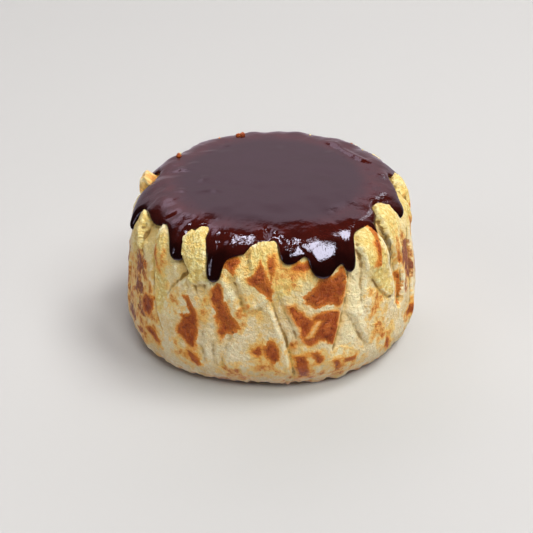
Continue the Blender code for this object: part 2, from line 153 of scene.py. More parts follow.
# Leaves: where the paper's folds drew the rim up. Each is its rows of (length, left angle, right angle,
# height), lengths and heights in mm, then how wide its left and right walls are in mm.
LEAVES = [
    ([(62.6, -73.6, -68.4, 3.2), (64, -73.8, -68, 3.6), (69, -74.2, -66.6, 3), (74, -75, -64.4, 2),
      (82, -76, -62, 1), (92, -76, -60, 0.3)], 1, 1.6),
    ([(60, -57.6, -50, 0.8), (62, -58, -48.4, 1.3), (66, -56.8, -46.8, 1.3), (74, -54, -45.6, 0.8),
      (84, -52, -45, 0.2)], 1.8, 2),
    ([(52.4, -34, -32.2, 3), (54.4, -35, -31.2, 4.2), (57.4, -37.2, -30.2, 4.4), (61, -40, -28.8, 3.6),
      (66, -38, -27, 2.9), (69, -37.8, -26.4, 2.5), (72, -35.8, -25.6, 2.1), (76, -33.6, -25, 1.5),
      (80, -32.6, -22, 0.7)], 0.6, 1),
    ([(55.6, -1.4, 1.2, 2.4), (57.4, -5.6, 2.2, 3.6), (59.4, -9, 2.8, 3.2), (62.4, -9.6, 3.2, 1.9),
      (69, -8, 4, 0.4)], 0.9, 0.9),
    ([(57.8, 41.6, 48.2, 1), (60, 39.6, 49.6, 2), (65, 38.6, 50.2, 1.8), (71, 38.6, 51.6, 1.3),
      (79, 39.6, 51.4, 0.7)], 1.6, 0.6),
    ([(53, 62, 66, 3), (55.4, 60.2, 68, 4.4), (58.5, 57.6, 69, 4.2), (62, 56.2, 69.4, 3.4),
      (66, 55.4, 69.6, 2.4), (72, 54.9, 69.6, 1.4), (80, 56, 69, 0.6)], 0.5, 1.4),
    ([(60, 93, 103, 2.6), (63, 91.6, 104, 3.8), (69, 91.4, 103, 2.6), (79, 92, 101, 0.7)], 1.2, 1),
    ([(62, 107, 111, 1.4), (66, 106, 112, 2), (76, 107, 111, 0.5)], 1.2, 1.2),
    ([(61, 121, 126, 1.2), (65, 120.6, 127, 2), (75, 121.6, 126, 0.5)], 1.2, 1.2),
    ([(58.5, 134, 138, 1.4), (62, 133, 139, 2.2), (74, 134, 138, 0.5)], 1, 1.2),
    ([(58.5, 148, 152, 1.4), (62, 147, 153.4, 2.2), (74, 148, 152, 0.5)], 1.2, 1),
    ([(61, 163, 167, 1.2), (65, 161.6, 168.4, 2), (76, 163, 167, 0.5)], 1, 1.2),
    ([(59, -169, -165, 1.4), (62.5, -170, -164, 2.4), (74, -169, -165, 0.5)], 1.2, 1),
    ([(61, -155, -150, 1.2), (65.5, -155.8, -148.6, 2), (77, -154, -150, 0.5)], 1.2, 1.2),
    ([(59, -133, -129, 1.4), (62.5, -134, -128, 2.2), (74, -133, -129, 0.5)], 1, 1.2),
    ([(61, -116, -111, 1.2), (65.5, -116.8, -109.6, 2), (77, -115, -111, 0.5)], 1.2, 1.2),
    ([(60, -104, -98.6, 3), (62, -105, -97.6, 6.2), (65, -105, -98, 6.4), (68, -104, -98.6, 3.6),
      (75, -103, -99, 0.8)], 0.9, 0.9),
    ([(62, -94, -88, 1.6), (65.5, -95, -87, 3.2), (72, -94.6, -87.6, 2.2), (82, -94, -88, 0.5)], 1, 1.2),
]

# Browned patches, each an outline of (angle, length) points: where the crust is chestnut
BROWN = [
    [(-21.6, 77.5), (-19.5, 77), (-18.6, 83), (-17.2, 87), (-15.3, 92), (-12, 96.3), (-11.6, 98.6),
     (-13.6, 101.6), (-16.8, 102), (-18.5, 106.3), (-19.6, 102), (-19, 99.4), (-21.3, 95), (-21.6, 90),
     (-23.6, 86)],
    [(-35, 88), (-32.5, 87.5), (-29.9, 93), (-28, 98), (-27.8, 105), (-29.4, 114.4), (-32.6, 111.6),
     (-37.1, 107.2), (-34.8, 100), (-35.8, 98), (-32, 95.8), (-34.2, 90.6)],
    [(-32.4, 116), (-29.6, 116.8), (-26.8, 121.6), (-28.2, 124), (-30.6, 121.4)],
    [(-19.9, 66.3), (-15.3, 63.8), (-12.6, 65.6), (-14, 68.8), (-15.3, 72.5), (-19, 69.6)],
    [(-4.1, 64.4), (-2.4, 68), (-0.3, 75), (1, 79.6), (0.4, 84.1), (-3.4, 80.6), (-8.3, 75.8), (-9.3, 73.4),
     (-6, 71)],
    [(-1.2, 63.8), (1.4, 63.1), (1.2, 71.3), (0.1, 75), (-0.8, 69)],
    [(-1, 103.8), (0.9, 105), (3.4, 108.1), (3.6, 113), (1.8, 116.9), (-1.2, 113.4), (-2.8, 109.4)],
    [(-6.6, 111.3), (-4.9, 108.1), (-2.9, 109), (-4.2, 113)],
    [(12.2, 82.5), (16.3, 79.4), (19.3, 75.6), (24.7, 74), (28.5, 70.6), (29.9, 74), (29.1, 83), (26.3, 89.7),
     (21.8, 88.1), (16.5, 89.2), (13.8, 86.4)],
    [(6.3, 86.9), (8.8, 86.3), (10.4, 89.8), (15.1, 94.2), (19.3, 91.4), (25.9, 92), (25.7, 98),
     (23.4, 108.8), (18, 105), (14.4, 107.2), (12.3, 105), (10.1, 96.3), (7.6, 90.6)],
    [(-55.4, 97.2), (-50.2, 97), (-49.8, 103), (-52.4, 107), (-56.6, 107), (-58, 102)],
    [(-60.5, 82.4), (-58.3, 81.6), (-57.4, 85.6), (-59, 86)],
    [(-52, 112.8), (-48.6, 114.4), (-45.8, 119.2), (-48.1, 120), (-54.3, 115.4)],
    [(-63.1, 120.3), (-57.8, 118.4), (-57, 120.6), (-61.4, 124.4)],
    [(-52.6, 69.4), (-51.6, 69), (-49.2, 76), (-47.8, 81), (-48.8, 80.4), (-51, 74.6)],
    [(58.6, 88.3), (61.6, 90), (61.6, 99), (59.6, 105.6), (58.4, 104.3), (59.6, 96)],
    [(59.5, 77), (62.6, 80), (63.9, 84.4), (61.6, 85), (59.6, 81.4)],
    [(66, 115), (72.4, 115), (74, 120.1), (67.4, 119.2)],
    [(47.4, 57.8), (49.4, 57.8), (50.5, 60.6), (50.3, 63.4), (48.9, 66.4), (48.2, 69.6), (47.7, 72.6),
     (46.5, 75.4), (45, 77.2), (43.8, 75.8), (45, 73.2), (45.5, 70), (45.9, 66.6), (47.3, 63.2), (47.6, 61)],
    [(9.4, 67.2), (15.8, 66.4), (16.6, 69.4), (12.4, 70.2), (8.6, 69)],
    # at the foot, right of the middle
    [(9.1, 113.4), (13.1, 112.4), (14, 119.2), (14.6, 126), (11.4, 126.6), (9.9, 119)],
    [(14.8, 111.6), (17, 110.7), (19.6, 115.3), (18.6, 118.6), (16.3, 116.4)],
    [(23.9, 118.2), (25.7, 117.8), (27.3, 126), (25, 125)],
    [(27.4, 117.6), (32.6, 118.2), (33.2, 121.4), (28.5, 120.6)],
    [(48.5, 116.6), (50.4, 119.4), (51.4, 125), (48.5, 121.9)],
    [(7.6, 106.1), (9.4, 105.9), (9, 108.7), (7, 107.7)],
]
# where it is darker and bloomed with grey
PURPLE = [
    [(-67, 82), (-63, 80.4), (-58.5, 83), (-58.2, 88), (-61.5, 90), (-66.5, 89.4)],
    [(-66.8, 93.6), (-60.4, 92.6), (-57.4, 98), (-59.4, 101.4), (-64.6, 100.4)],
    [(-60.6, 104), (-56.6, 105.4), (-53.4, 110.8), (-57.2, 110.4), (-62.4, 108.4)],
    [(-78.7, 98), (-76.8, 102), (-75.4, 112), (-77.6, 108)],
    [(-74.4, 112), (-68, 112), (-64.4, 119.6), (-67.4, 120.4), (-73, 119)],
    [(-87, 92), (-81, 91), (-80, 99), (-86, 100)],
    [(64.9, 74), (69, 76), (75.6, 82), (75.8, 92), (74.6, 98), (68, 97), (66, 90), (65, 82)],
    [(64, 95), (67, 98), (65, 101), (63, 97.6)],
]
# where it is toasted orange
TOAST = [
    [(-80, 92), (-66, 84), (-54, 84), (-50.6, 92), (-47, 106), (-45.4, 122), (-56, 127), (-70, 124),
     (-80, 112)],
    [(-51.6, 69), (-47.3, 69.6), (-44.6, 73), (-44.4, 76.4), (-46, 79.6), (-49, 78)],
    [(-20, 64), (-11, 62.4), (-11, 66.6), (-13.6, 70), (-18, 73)],
    [(-5, 65), (3.2, 64), (3.4, 70), (2.4, 78), (-1, 85), (-10, 75)],
    [(4, 67), (16.8, 66), (17.6, 70), (10.4, 74), (9.6, 79), (5, 76.6)],
    [(-8, 107), (0, 102), (5, 108), (3, 119), (1, 127), (-5, 127), (-6, 116)],
    [(-20, 122), (-16, 116), (-9, 122), (-8, 130), (-18, 130)],
    [(8, 112), (13, 112), (14, 128), (8.6, 128)],
    [(4, 124), (30, 123), (30, 131), (5, 131)],
    [(9.4, 111), (18.6, 110), (20, 118), (15, 125), (10.4, 122)],
    [(24, 115), (33.6, 114), (36, 124), (28, 128), (23, 124)],
    [(40.8, 87.8), (48.2, 93.2), (46.2, 100.6), (49.3, 112.8), (47.1, 119.2), (41.5, 113.7), (41, 105.5),
     (39, 96.8)],
    [(46.6, 112), (51, 112), (53, 124), (47, 124)],
    [(-38.6, 113), (-30, 115), (-26, 122), (-31, 126), (-37, 119)],
    [(57.5, 69.3), (60.2, 67.4), (66.2, 71.6), (76.2, 83.7), (76, 96), (68.2, 99), (64.6, 98.7), (63.7, 91.2),
     (57.4, 77.7), (55.3, 74.8)],
    [(57.7, 87.5), (61.8, 86.7), (62.3, 94.5), (61.1, 100.6), (59.1, 105.4), (57.5, 103.1)],
    [(62, 113), (75, 112), (76, 124), (64, 124)],
    [(-10, 84), (-5, 84), (-5, 91), (-9, 91)],
    [(-107, 56), (-96, 56), (-96, 66), (-107, 66)],
    [(-41.5, 87), (-37, 87), (-35.6, 94), (-38, 100), (-41, 98)],
    [(-28, 84), (-24.6, 86), (-24, 96), (-27.4, 95)],
    [(-16, 88), (-9, 86), (-8, 93), (-12, 99), (-15, 94)],
]

# where the crumb is smooth and pale
SILKY = [
    [(31, 62), (38.6, 62), (38.6, 82), (36.6, 95), (33, 108), (28, 118), (23.4, 118), (25.6, 102), (28.6, 90),
     (30.8, 76)],
    [(-44, 83), (-37, 90), (-36, 97), (-40, 103), (-45, 100), (-47, 90)],
    [(-24.6, 79), (-20, 82), (-14.6, 80), (-10.6, 90), (-9.6, 97), (-14, 93), (-16.6, 86), (-22.6, 83.6)],
]
# where it is yellow
YELLOW = [
    [(39, 57), (48, 57), (50, 63), (50, 70), (51, 77), (52, 84), (53, 96), (47, 90), (42, 80), (39.5, 70)],
    [(57, 54), (68, 52), (70, 57), (68, 64), (63, 69), (56, 72), (55, 64)],
    [(-74, 62), (-67, 62), (-65, 70), (-62, 80), (-66, 88), (-72, 82), (-74, 72)],
    [(-41, 56), (-34, 51), (-29, 54), (-26, 70), (-25, 77), (-32, 80), (-39, 70)],
    [(-11, 62), (-1, 55), (3, 56), (5, 66), (12, 68), (10, 76), (3, 84), (-1, 74), (-8, 72)],
    [(78, 62), (104, 58), (104, 70), (92, 78), (78, 72)],
    [(-56, 66), (-47, 64), (-45, 76), (-43, 90), (-46, 104), (-51, 92), (-54, 80)],
]
# the gaps too deep for light: how dark they are, their half width, and how far each end fades
GAP_DARKEST, GAP_HALF_WIDTH, GAP_REACH = 0.9, 0.5 * MM, 1.6 * MM
GAP_TOP_FADE, GAP_BOTTOM_FADE = 3 * MM, 6 * MM
GAPS = [
    [(-56, 62), (-53.9, 70), (-52.4, 80), (-51.2, 88), (-49.4, 96), (-47.4, 104)],
    [(54.9, 60), (54.9, 66), (55.4, 73), (55.9, 80), (56.4, 88), (56.7, 94), (56.7, 101)],
]
# and a pale mark in a browned patch
PALE = [[(12.4, 103.4), (14.2, 99.4), (16.6, 95.2), (19.2, 96.0), (17.2, 100.8), (15.0, 104.8)]]

# The glaze's edge on the front, as (angle, length) points
FRONT_EDGE = [
    (-93, 63.5), (-91, 66.6), (-88.4, 68.4), (-84.4, 70.4), (-80.4, 73.4), (-77.6, 76), (-75.2, 75.6),
    (-74.4, 72.4), (-74.8, 68.8), (-74.6, 65.4), (-72.6, 63.6), (-69.4, 63), (-67.2, 63), (-64.4, 63.4),
    (-60.8, 63.4), (-57.6, 62.4), (-55.4, 61.4), (-53.4, 59.9), (-50.8, 60.8), (-48.2, 62.6), (-46.2, 64.6),
    (-44.5, 67), (-43.1, 69.6), (-41.4, 71.4), (-39.4, 71.9), (-37.2, 71), (-35.9, 68.8), (-36.6, 65.6),
    (-37.9, 62.2), (-39.3, 59.6), (-39.8, 57.6), (-38.6, 55.8), (-36.4, 54), (-34.4, 52.4), (-32.4, 54),
    (-31.2, 57), (-29.6, 60.4), (-28, 63.6), (-26.4, 66.8), (-25.7, 70.4), (-25.2, 73.6), (-24.2, 75.9),
    (-22.3, 76.9), (-20.4, 75.9), (-19.4, 73.4), (-19, 69.8), (-18.2, 66.4), (-16.4, 64.6), (-14, 63.4),
    (-11.4, 62.4), (-10.2, 60.6), (-8.6, 60.5), (-7.4, 59), (-6, 59.9), (-4.6, 58.7), (-3.2, 58.9),
    (-1.6, 57.4), (-0.6, 56), (1, 55.2), (2.4, 56), (3.3, 58.8), (3.8, 62.2), (4.8, 65.4), (6.8, 66.9),
    (9.2, 66.7), (11.6, 65.4), (13.8, 64), (15, 64.6), (15.4, 67.4), (16, 70.6), (17.4, 73), (19.6, 74.3),
    (21.8, 74.2), (23.8, 72.8), (25.6, 71), (27.6, 69.9), (28.8, 70.2), (29.6, 72.2), (30.6, 73.9),
    (32.2, 74.4), (33.8, 73.4), (34.8, 71), (35.8, 67.6), (36.9, 64.2), (38.2, 61.2), (40, 59.2),
    (42.4, 58.3), (45.4, 58.2), (47.8, 58.8), (49, 60.6), (49.5, 63), (50.4, 64), (51.6, 62.8), (53.2, 60.8),
    (55.4, 58.8), (58, 57.2), (59.6, 55.8), (60.8, 54), (63.6, 53.2), (66.4, 53.6), (66.9, 56.2),
    (66.6, 59.4), (67.1, 62.8), (68.6, 65.4), (71.4, 66.6), (74.6, 66.4), (77.6, 65), (80.2, 63),
    (82.8, 61.6), (85.6, 60.8),
]
# Round the back: (angle, length of the edge) where there is no drip
BACK_EDGE = [
    (90, 59.8), (95, 58), (99, 58.4), (113, 61.8), (117, 62), (127.5, 62.4), (139, 61.2), (146, 59.8),
    (151, 59.8), (155, 60.8), (167, 61.6), (171.5, 61.4), (181, 60.8), (188, 60.2), (191, 61.2), (202, 61.6),
    (206.5, 61.6), (222, 61.2), (227.5, 60.6), (238, 60.8), (241, 61.4), (251, 60.2), (257, 56.6),
    (261.5, 57.6), (266.5, 62.5),
]
# and its drips: (angle, width in mm, length of the tip)
BACK_DRIPS = [
    (106, 8.5, 77.5),
    (122, 9.5, 71.5),
    (133.5, 7.2, 80.0),
    (160.5, 9.5, 74.0),
    (176, 7.2, 81.5),
    (-163, 8.8, 75.0),
    (-146, 10.5, 78.5),
    (-127, 7.4, 72.0),
    (-113.5, 8.2, 80.5),
]

# Small swells of the glaze's surface: (angle, length, half width in mm, height in mm)
GLAZE_LUMPS = [
    (-18.5, 60.0, 2.3, 0.8),
    (147.5, 36.0, 1.0, 0.22),
    (136.5, 33.5, 0.9, 0.2),
    (120.5, 9.0, 1.1, 0.2),
    (114.5, 16.5, 0.9, 0.2),
    (122.5, 44.0, 1.2, 0.25),
    (-135.5, 23.0, 1.0, 0.2),
    (-35.0, 35.5, 2.4, 0.22),
    (2.0, 50.0, 1.2, 0.6),
    (-0.6, 48.4, 1.0, 0.5),
    (5.0, 52.4, 1.2, 0.5),
    (-5.0, 49.6, 1.0, 0.4),
]
# and its ridges and grooves: (line of (angle, length) points, height in mm, half width in mm)
GLAZE_RIDGES = [
    ([(145.5, 50), (140, 50.5), (129, 48), (119.5, 48), (111.5, 49.5), (106, 53.5)], 0.9, 1.6),
    ([(-127.5, 46.5), (-135.5, 42)], 0.36, 1.9),
    ([(-143, 45), (-150, 43.5)], 0.34, 1.9),
    ([(-107, 43.5), (-111, 41), (-112, 37.5)], 0.36, 1.9),
    ([(-100, 49), (-102.5, 45), (-101.5, 40)], 0.38, 1.9),
    ([(-86.5, 34), (-89.5, 30)], 0.32, 1.9),
    ([(-74, 48.5), (-74, 44.5), (-71, 42)], 0.36, 1.9),
    ([(-68.5, 38.5), (-67.5, 31), (-58.5, 26.5)], 0.34, 2.1),
    ([(-2.2, 48.4), (-1.6, 52.5), (-1, 56.4)], -1.1, 1.2),
    ([(29, 66), (29.6, 68.5), (30, 70.5)], -0.7, 1.2),
    ([(-52, 53), (-53.6, 56.5), (-54, 60.5)], -0.7, 1.6),
    ([(12.4, 60.4), (13.8, 62.4), (15, 65)], -0.5, 1.2),
    ([(-12, 61.2), (-7, 58.8), (-1.8, 55.6)], 0.62, 1.8),
    ([(-42.5, 53.5), (-42, 60), (-40.6, 67)], 0.55, 1.4),
    ([(-27, 53.5), (-24.5, 60), (-22.8, 69)], 0.55, 1.4),
]

# The glaze's own form
SHEET_THICKNESS = 2.6 * MM
# How much thicker it is at the ends of its drips, from which length on and over what run
DRIP_THICKENING, THICKENING_START, THICKENING_RUN = 1.2 * MM, 59 * MM, 15 * MM
BEAD_WIDTH = 3.4 * MM  # how far in from its edge it is round, and by what share more on the drips
BEAD_WIDENING, WIDENING_START, WIDENING_RUN = 0.5, 58 * MM, 8 * MM
BEAD_WIDEST = 0.36  # how far up the edge it bulges out most, as a share of its thickness
EDGE_SPACING = 0.45 * MM
CHEST_SPACING, TOP_SPACING = 0.75 * MM, 1.5 * MM
UNDER_SPACING = 2.4 * MM
TOP_REACH, GLAZE_REACH = 42 * MM, 90 * MM  # how far out the top's grid goes, and the whole glaze
# Rows of points that follow the edge, in mm inside it; the coarser grid starts further in
EDGE_ROWS = (0.13, 0.4, 0.8, 1.3, 1.9, 2.6, 3.4)
ROW_CLEARANCE = 0.86  # a row keeps its points that are this share of its depth from all of the edge
ROW_CROWDING, GRID_START, UNDER_START = 0.26 * MM, 3.6 * MM, 2.6 * MM
# How the edge rolls under: (mm inside it, height as a share of the bead), and where it ends in the crumb
EDGE_ROLL = ((0.07, 0.72), (0.27, 0.42), (0.58, 0.14))
ROLL_END, ROLL_SUNK, UNDER_SUNK = 0.9 * MM, 0.5 * MM, 0.8 * MM

# The crumb's grid: finer in front, and where the side is
FRONT_COLUMNS, BACK_COLUMNS, FRONT_HALF = 480, 220, 100
ROW_STEP, SIDE_START, SIDE_END = 0.64 * MM, 51 * MM, 134 * MM
PLEAT_REACH = 14 * MM
SMALL_PLEATS = 210
PATCH_DEEPEST = 2.4  # mm; patches are alike further in
# The side's radius where patches and creases are made up, and the glaze's where its drips are, in mm
SIDE_RADIUS, DRIP_RADIUS = 72, 68
NOISE_GAIN = 1.7  # brings the noise to about -1 to 1


# ---- the turned form


def quarter_ellipse(centre, run, rise, start, end, count):
    angles = np.radians(np.linspace(start, end, count))
    return [(centre[0] + run * math.cos(a), centre[1] + rise * math.sin(a)) for a in angles]


def cake_outline():
    """(radius, height) down the outside, from the middle of the top to the middle of the base."""
    flat = NECK_RADIUS - SHOULDER_RUN
    points = [(flat * f, CAKE_HEIGHT + TOP_CROWN * (1 - f * f)) for f in (0.0, 0.5, 0.8)]
    points += quarter_ellipse((flat, NECK_HEIGHT), SHOULDER_RUN, CAKE_HEIGHT - NECK_HEIGHT, 90, 0, 40)
    for f in np.linspace(0, 1, 40)[1:-1]:
        bow = math.sin(f * math.pi / 2)
        radius = NECK_RADIUS + (BODY_RADIUS - NECK_RADIUS) * bow
        points.append((radius, NECK_HEIGHT + (BODY_WIDEST - NECK_HEIGHT) * f))
    points += quarter_ellipse((BODY_RADIUS - FOOT_RUN, BODY_WIDEST), FOOT_RUN, BODY_WIDEST, 0, -90, 24)
    return points + [(0.0, 0.0)]


class Outline:
    def __init__(self):
        points = np.array(cake_outline())
        steps = np.diff(points, axis=0)
        self.length = np.concatenate([[0], np.cumsum(np.hypot(*steps.T))])
        self.radius, self.height = points.T
        tangent = np.gradient(points, self.length, axis=0)
        self.out, self.up = -tangent[:, 1], tangent[:, 0]

    def at(self, length):
        columns = (self.radius, self.height, self.out, self.up)
        return [np.interp(length, self.length, c) for c in columns]

    def length_at_height(self, height):
        above = self.height > 0.5 * BODY_WIDEST
        return np.interp(-height, -self.height[above], self.length[above])


OUTLINE = Outline()


def turn_between(angle, other):
    return (angle - other + 180.0) % 360.0 - 180.0


def bell(x):
    return np.exp(-x * x)


def ramp(x):
    x = np.clip(x, 0, 1)
    return x * x * (3 - 2 * x)


def place(angle, length, offset):
    """The points at these angles and lengths, this far out of the turned form, as rows of x, y, z."""
    radius, height, out, up = OUTLINE.at(length)
    radius = np.maximum(radius + out * offset, 0.0)
    height = height + up * offset
    flat = sum(bell(turn_between(angle, middle) / width) * much for middle, width, much in FLATS)
    radius = radius * (1 - flat * MM / BODY_RADIUS)
    inset = FOOT_INSET * bell(turn_between(angle, FOOT_ANGLE) / FOOT_HALF_WIDTH)
    inset = inset * (1 - ramp((height - FOOT_INSET_FULL) / FOOT_INSET_FADE))
    radius = np.maximum(radius - inset * ramp(radius / FOOT_FIXED_RADIUS), 0.0)
    turn = np.radians(angle)
    x, y = radius * np.sin(turn), -radius * np.cos(turn)
    lean = np.clip(height / CAKE_HEIGHT, 0, 1) ** 2 * BACK_RISE * y / BODY_RADIUS
    return np.stack([x, y, height + lean], axis=-1)


def swell_relief(angle, length, swell):
    middle, half_width, height = swell
    across = turn_between(angle, middle) / half_width
    down = (length - (NECK_RADIUS - SHOULDER_RUN + SWELL_MIDDLE)) / SWELL_HALF_WIDTH
    return height * MM * bell(across) * bell(down)


def body_relief(angle, length):
    total = sum(swell_relief(angle, length, swell) for swell in SHOULDER_SWELLS)
    turn = np.radians(angle)
    side = np.clip((length - 50 * MM) / (20 * MM), 0, 1)
    return total + side * MM * (0.5 * np.sin(2 * turn + 0.7) + 0.4 * np.sin(5 * turn))


# ---- noise


class Noise:
    """Smooth seeded noise over points in space, about -1 to 1."""

    def __init__(self, seed):
        rng = np.random.default_rng(seed)
        self.shuffle = np.tile(rng.permutation(256), 2)
        slopes = rng.normal(size=(256, 3))
        self.slopes = slopes / np.linalg.norm(slopes, axis=1)[:, None]

    def __call__(self, points, size):
        points = points / size
        cell = np.floor(points).astype(int)
        part = points - cell
        fade = part**3 * (part * (part * 6 - 15) + 10)
        total = np.zeros(len(points))
        for corner in np.ndindex(2, 2, 2):
            x, y, z = ((cell + corner) & 255).T
            slope = self.slopes[self.shuffle[self.shuffle[self.shuffle[x] + y] + z]]
            weight = np.prod(np.where(corner, fade, 1 - fade), axis=1)
            total += weight * ((part - corner) * slope).sum(axis=1)
        return total * NOISE_GAIN


def drawn(angle, length, stretch):
    """Points for noise whose grains are stretched down the side, without a seam."""
    turn = np.radians(angle)
    return np.stack([BODY_RADIUS * np.sin(turn), -BODY_RADIUS * np.cos(turn), length / stretch], axis=-1)


# ---- distances on the unrolled side


def unrolled(angle, length, middle):
    """How far right of middle, and how far down, in metres."""
    return np.radians(turn_between(angle, middle)) * OUTLINE.at(length)[0], length


def window_of(angle, length, middle, half_width, first, last):
    """The indices of the points this near a middle angle and between two lengths."""
    near = np.abs(turn_between(angle, middle)) < half_width
    return np.nonzero(near & (length > first) & (length < last))[0]


def is_inside(curve, points):
    """Which points lie inside the closed curve: each is compared with it along its own ray."""
    inside = np.zeros(len(points), bool)
    x, y = points.T
    for (ax, ay), (bx, by) in zip(curve, np.roll(curve, -1, axis=0)):
        if ay != by:
            rows = np.nonzero((ay > y) != (by > y))[0]
            inside[rows] ^= x[rows] < (bx - ax) * (y[rows] - ay) / (by - ay) + ax
    return inside


def around(angle, length, line, reach, spare):
    """The indices of the points near a line, then those points and the line's own, laid flat."""
    angles, lengths = np.array(line, float).T
    lengths = lengths * MM
    middle, half_width = angles.mean(), np.ptp(angles) + spare
    near = window_of(angle, length, middle, half_width, lengths.min() - reach, lengths.max() + reach)
    return near, unrolled(angle[near], length[near], middle), unrolled(angles, lengths, middle)


def to_line(angle, length, line, reach):
    """Of the points within reach of a line: their indices, how far right of it and how far along it they
    are, and its length."""
    near, (px, py), (lx, ly) = around(angle, length, line, reach, np.degrees(reach / (40 * MM)))
    best = np.full(len(near), 1e9)
    across, along = np.zeros(len(near)), np.zeros(len(near))
    gone = 0.0
    for ax, ay, bx, by in zip(lx[:-1], ly[:-1], lx[1:], ly[1:]):
        run = math.hypot(bx - ax, by - ay)
        dx, dy = (bx - ax) / run, (by - ay) / run
        t = np.clip((px - ax) * dx + (py - ay) * dy, 0, run)
        far = np.hypot(px - ax - t * dx, py - ay - t * dy)
        side = np.sign(dy * (px - ax) - dx * (py - ay))
        closer = far < best
        best = np.where(closer, far, best)
        across = np.where(closer, far * side, across)
        along = np.where(closer, gone + t, along)
        gone += run
    kept = best < reach
    return near[kept], across[kept], along[kept], gone


def inside_depth(angle, length, outline, reach):
    """Of the points within reach of an outline: their indices, and how deep inside it they are."""
    near, across, _, _ = to_line(angle, length, outline + outline[:1], reach)
    window, points, corners = around(angle, length, outline, reach, 4)
    inside = is_inside(np.column_stack(corners), np.column_stack(points))
    depth = np.full(len(angle), -reach)
    depth[near] = -np.abs(across)
    depth[window[inside]] *= -1
    kept = np.nonzero(depth > -reach)[0]
    return kept, depth[kept]


# ---- the crumb's relief


def pleat_relief(angle, length, pleat, total):
    """Add a pleat to the relief: hollow on one side of its line and proud on the other."""
    line, depth, lip, side, wall, hollow, roll, fades = pleat
    near, across, along, run = to_line(angle, length, line, PLEAT_REACH)
    across = across * side / MM
    climb = 0.5 + 0.5 * np.tanh(across / wall)
    low = -depth * bell(across / hollow)
    high = lip * np.exp(-np.maximum(across, 0) / roll) * (1 - 0.25 * bell(across / 0.8))
    taper = np.ones(len(near))
    for fade, past in zip(fades, (along, run - along)):
        if fade:
            taper *= ramp(past / (fade * MM))
    step = (1 - climb) * low + climb * high
    total[near] += MM * taper * step * bell(np.maximum(np.abs(across) - 8, 0) / 3)


def hollow_relief(angle, length, hollow, total):
    """Take a hollow out of the relief."""
    outline, depth, border = hollow
    near, inside = inside_depth(angle, length, outline, 5 * MM)
    total[near] -= depth * MM * ramp(0.5 + inside / MM / (2 * border))


def leaf_relief(angle, length, leaf, total, ragged, chunks):
    """Add a leaf to the relief, with ragged edges and a chunky face."""
    rows, left_wall, right_wall = leaf
    lengths, left, right, height = np.array(rows, float).T
    lengths = lengths * MM
    middle = (left.mean() + right.mean()) / 2
    window = window_of(angle, length, middle, 20, lengths[0] - 2 * MM, lengths[-1] + 6 * MM)
    turn, down = turn_between(angle[window], middle), length[window]
    rough = ragged[window]
    rise = np.interp(down, lengths, height)
    rise = rise * ramp((down - lengths[0] + 0.5 * MM + 0.4 * rough * MM) / (1.3 * MM))
    rise *= 1 - ramp((down - lengths[-1]) / (5 * MM))
    for edge, wall, side in ((left, left_wall, 1), (right, right_wall, -1)):
        past = side * (turn - np.interp(down, lengths, edge - middle))
        inside = np.radians(past) * OUTLINE.at(down)[0] / MM
        rise = rise * ramp(0.5 + (inside + 0.75 * rough) / (2 * wall))
    total[window] += rise * MM * (1 + 0.09 * chunks[window])


def back_pleats():
    """The part's folds of the back as pleats, each bent a little."""
    rng = np.random.default_rng(7)
    made = []
    for top_angle, top, bottom_angle, bottom, depth, lip, side in BACK_FOLDS:
        steps = np.linspace(0, 1, 5)
        angles = top_angle + (bottom_angle - top_angle) * steps + rng.normal(0, 0.7, 5)
        heights = (top + (bottom - top) * steps) * MM
        line = list(zip(angles, OUTLINE.length_at_height(heights) / MM))
        wall = rng.uniform(0.35, 0.8)
        made.append((line, depth * 1.1, lip, side, wall, rng.uniform(3, 5.5), rng.uniform(4, 6.5), (0, 10)))
    return made


def small_pleats():
    """Short straight creases that crumpled paper leaves, all round."""
    rng = np.random.default_rng(21)
    made = []
    for _ in range(SMALL_PLEATS):
        angle, length = rng.uniform(-180, 180), rng.uniform(66, 126)
        lean = rng.normal(0, 0.5) if rng.random() < 0.75 else rng.uniform(-1.5, 1.5)
        run = rng.uniform(8, 22)
        turn = math.degrees(math.sin(lean) * run / SIDE_RADIUS)
        line = [(angle, length), (angle + turn, length + math.cos(lean) * run)]
        deep = rng.uniform(0.12, 0.36)
        sizes = (rng.uniform(0.45, 0.9), rng.uniform(1.2, 3.0), rng.uniform(1.5, 4.0))
        made.append((line, deep, deep * 0.8, rng.choice((-1, 1)), *sizes, (run * 0.4, run * 0.4)))
    return made


def crumple(where):
    """Flat panels that meet in ridges and valleys, as crumpled paper leaves them; about -1 to 1."""
    rng = np.random.default_rng(17)
    bend, fade = Noise(18), Noise(19)
    turn = np.arctan2(where[:, 0], -where[:, 1]) * BODY_RADIUS
    total = np.zeros(len(where))
    warped = where + 2.6 * MM * np.stack([bend(where + k * 0.31, 14 * MM) for k in range(3)], axis=-1)
    across = turn + 2.2 * MM * bend(where * (1, 1, 0.5), 12 * MM)
    for size, much in ((27, 0.9), (19, 0.8), (13, 0.6), (9, 0.42)):
        size *= MM
        # a whole number of pleats goes round, and all lean a little
        count = round(2 * math.pi * BODY_RADIUS / size)
        for lean in rng.normal(0, 0.45, 2):
            round_it = across * count / (2 * math.pi * BODY_RADIUS)
            wave = (round_it + (warped[:, 2] * math.tan(lean)) / size + rng.random()) % 1.0
            peak = rng.uniform(0.25, 0.75)
            fold = np.where(wave < peak, wave / peak, (1 - wave) / (1 - peak))
            strength = np.clip(0.5 + 1.6 * fade(where + rng.random(), 24 * MM), 0, 1)
            total += much * strength * (fold - 0.5)
    return total


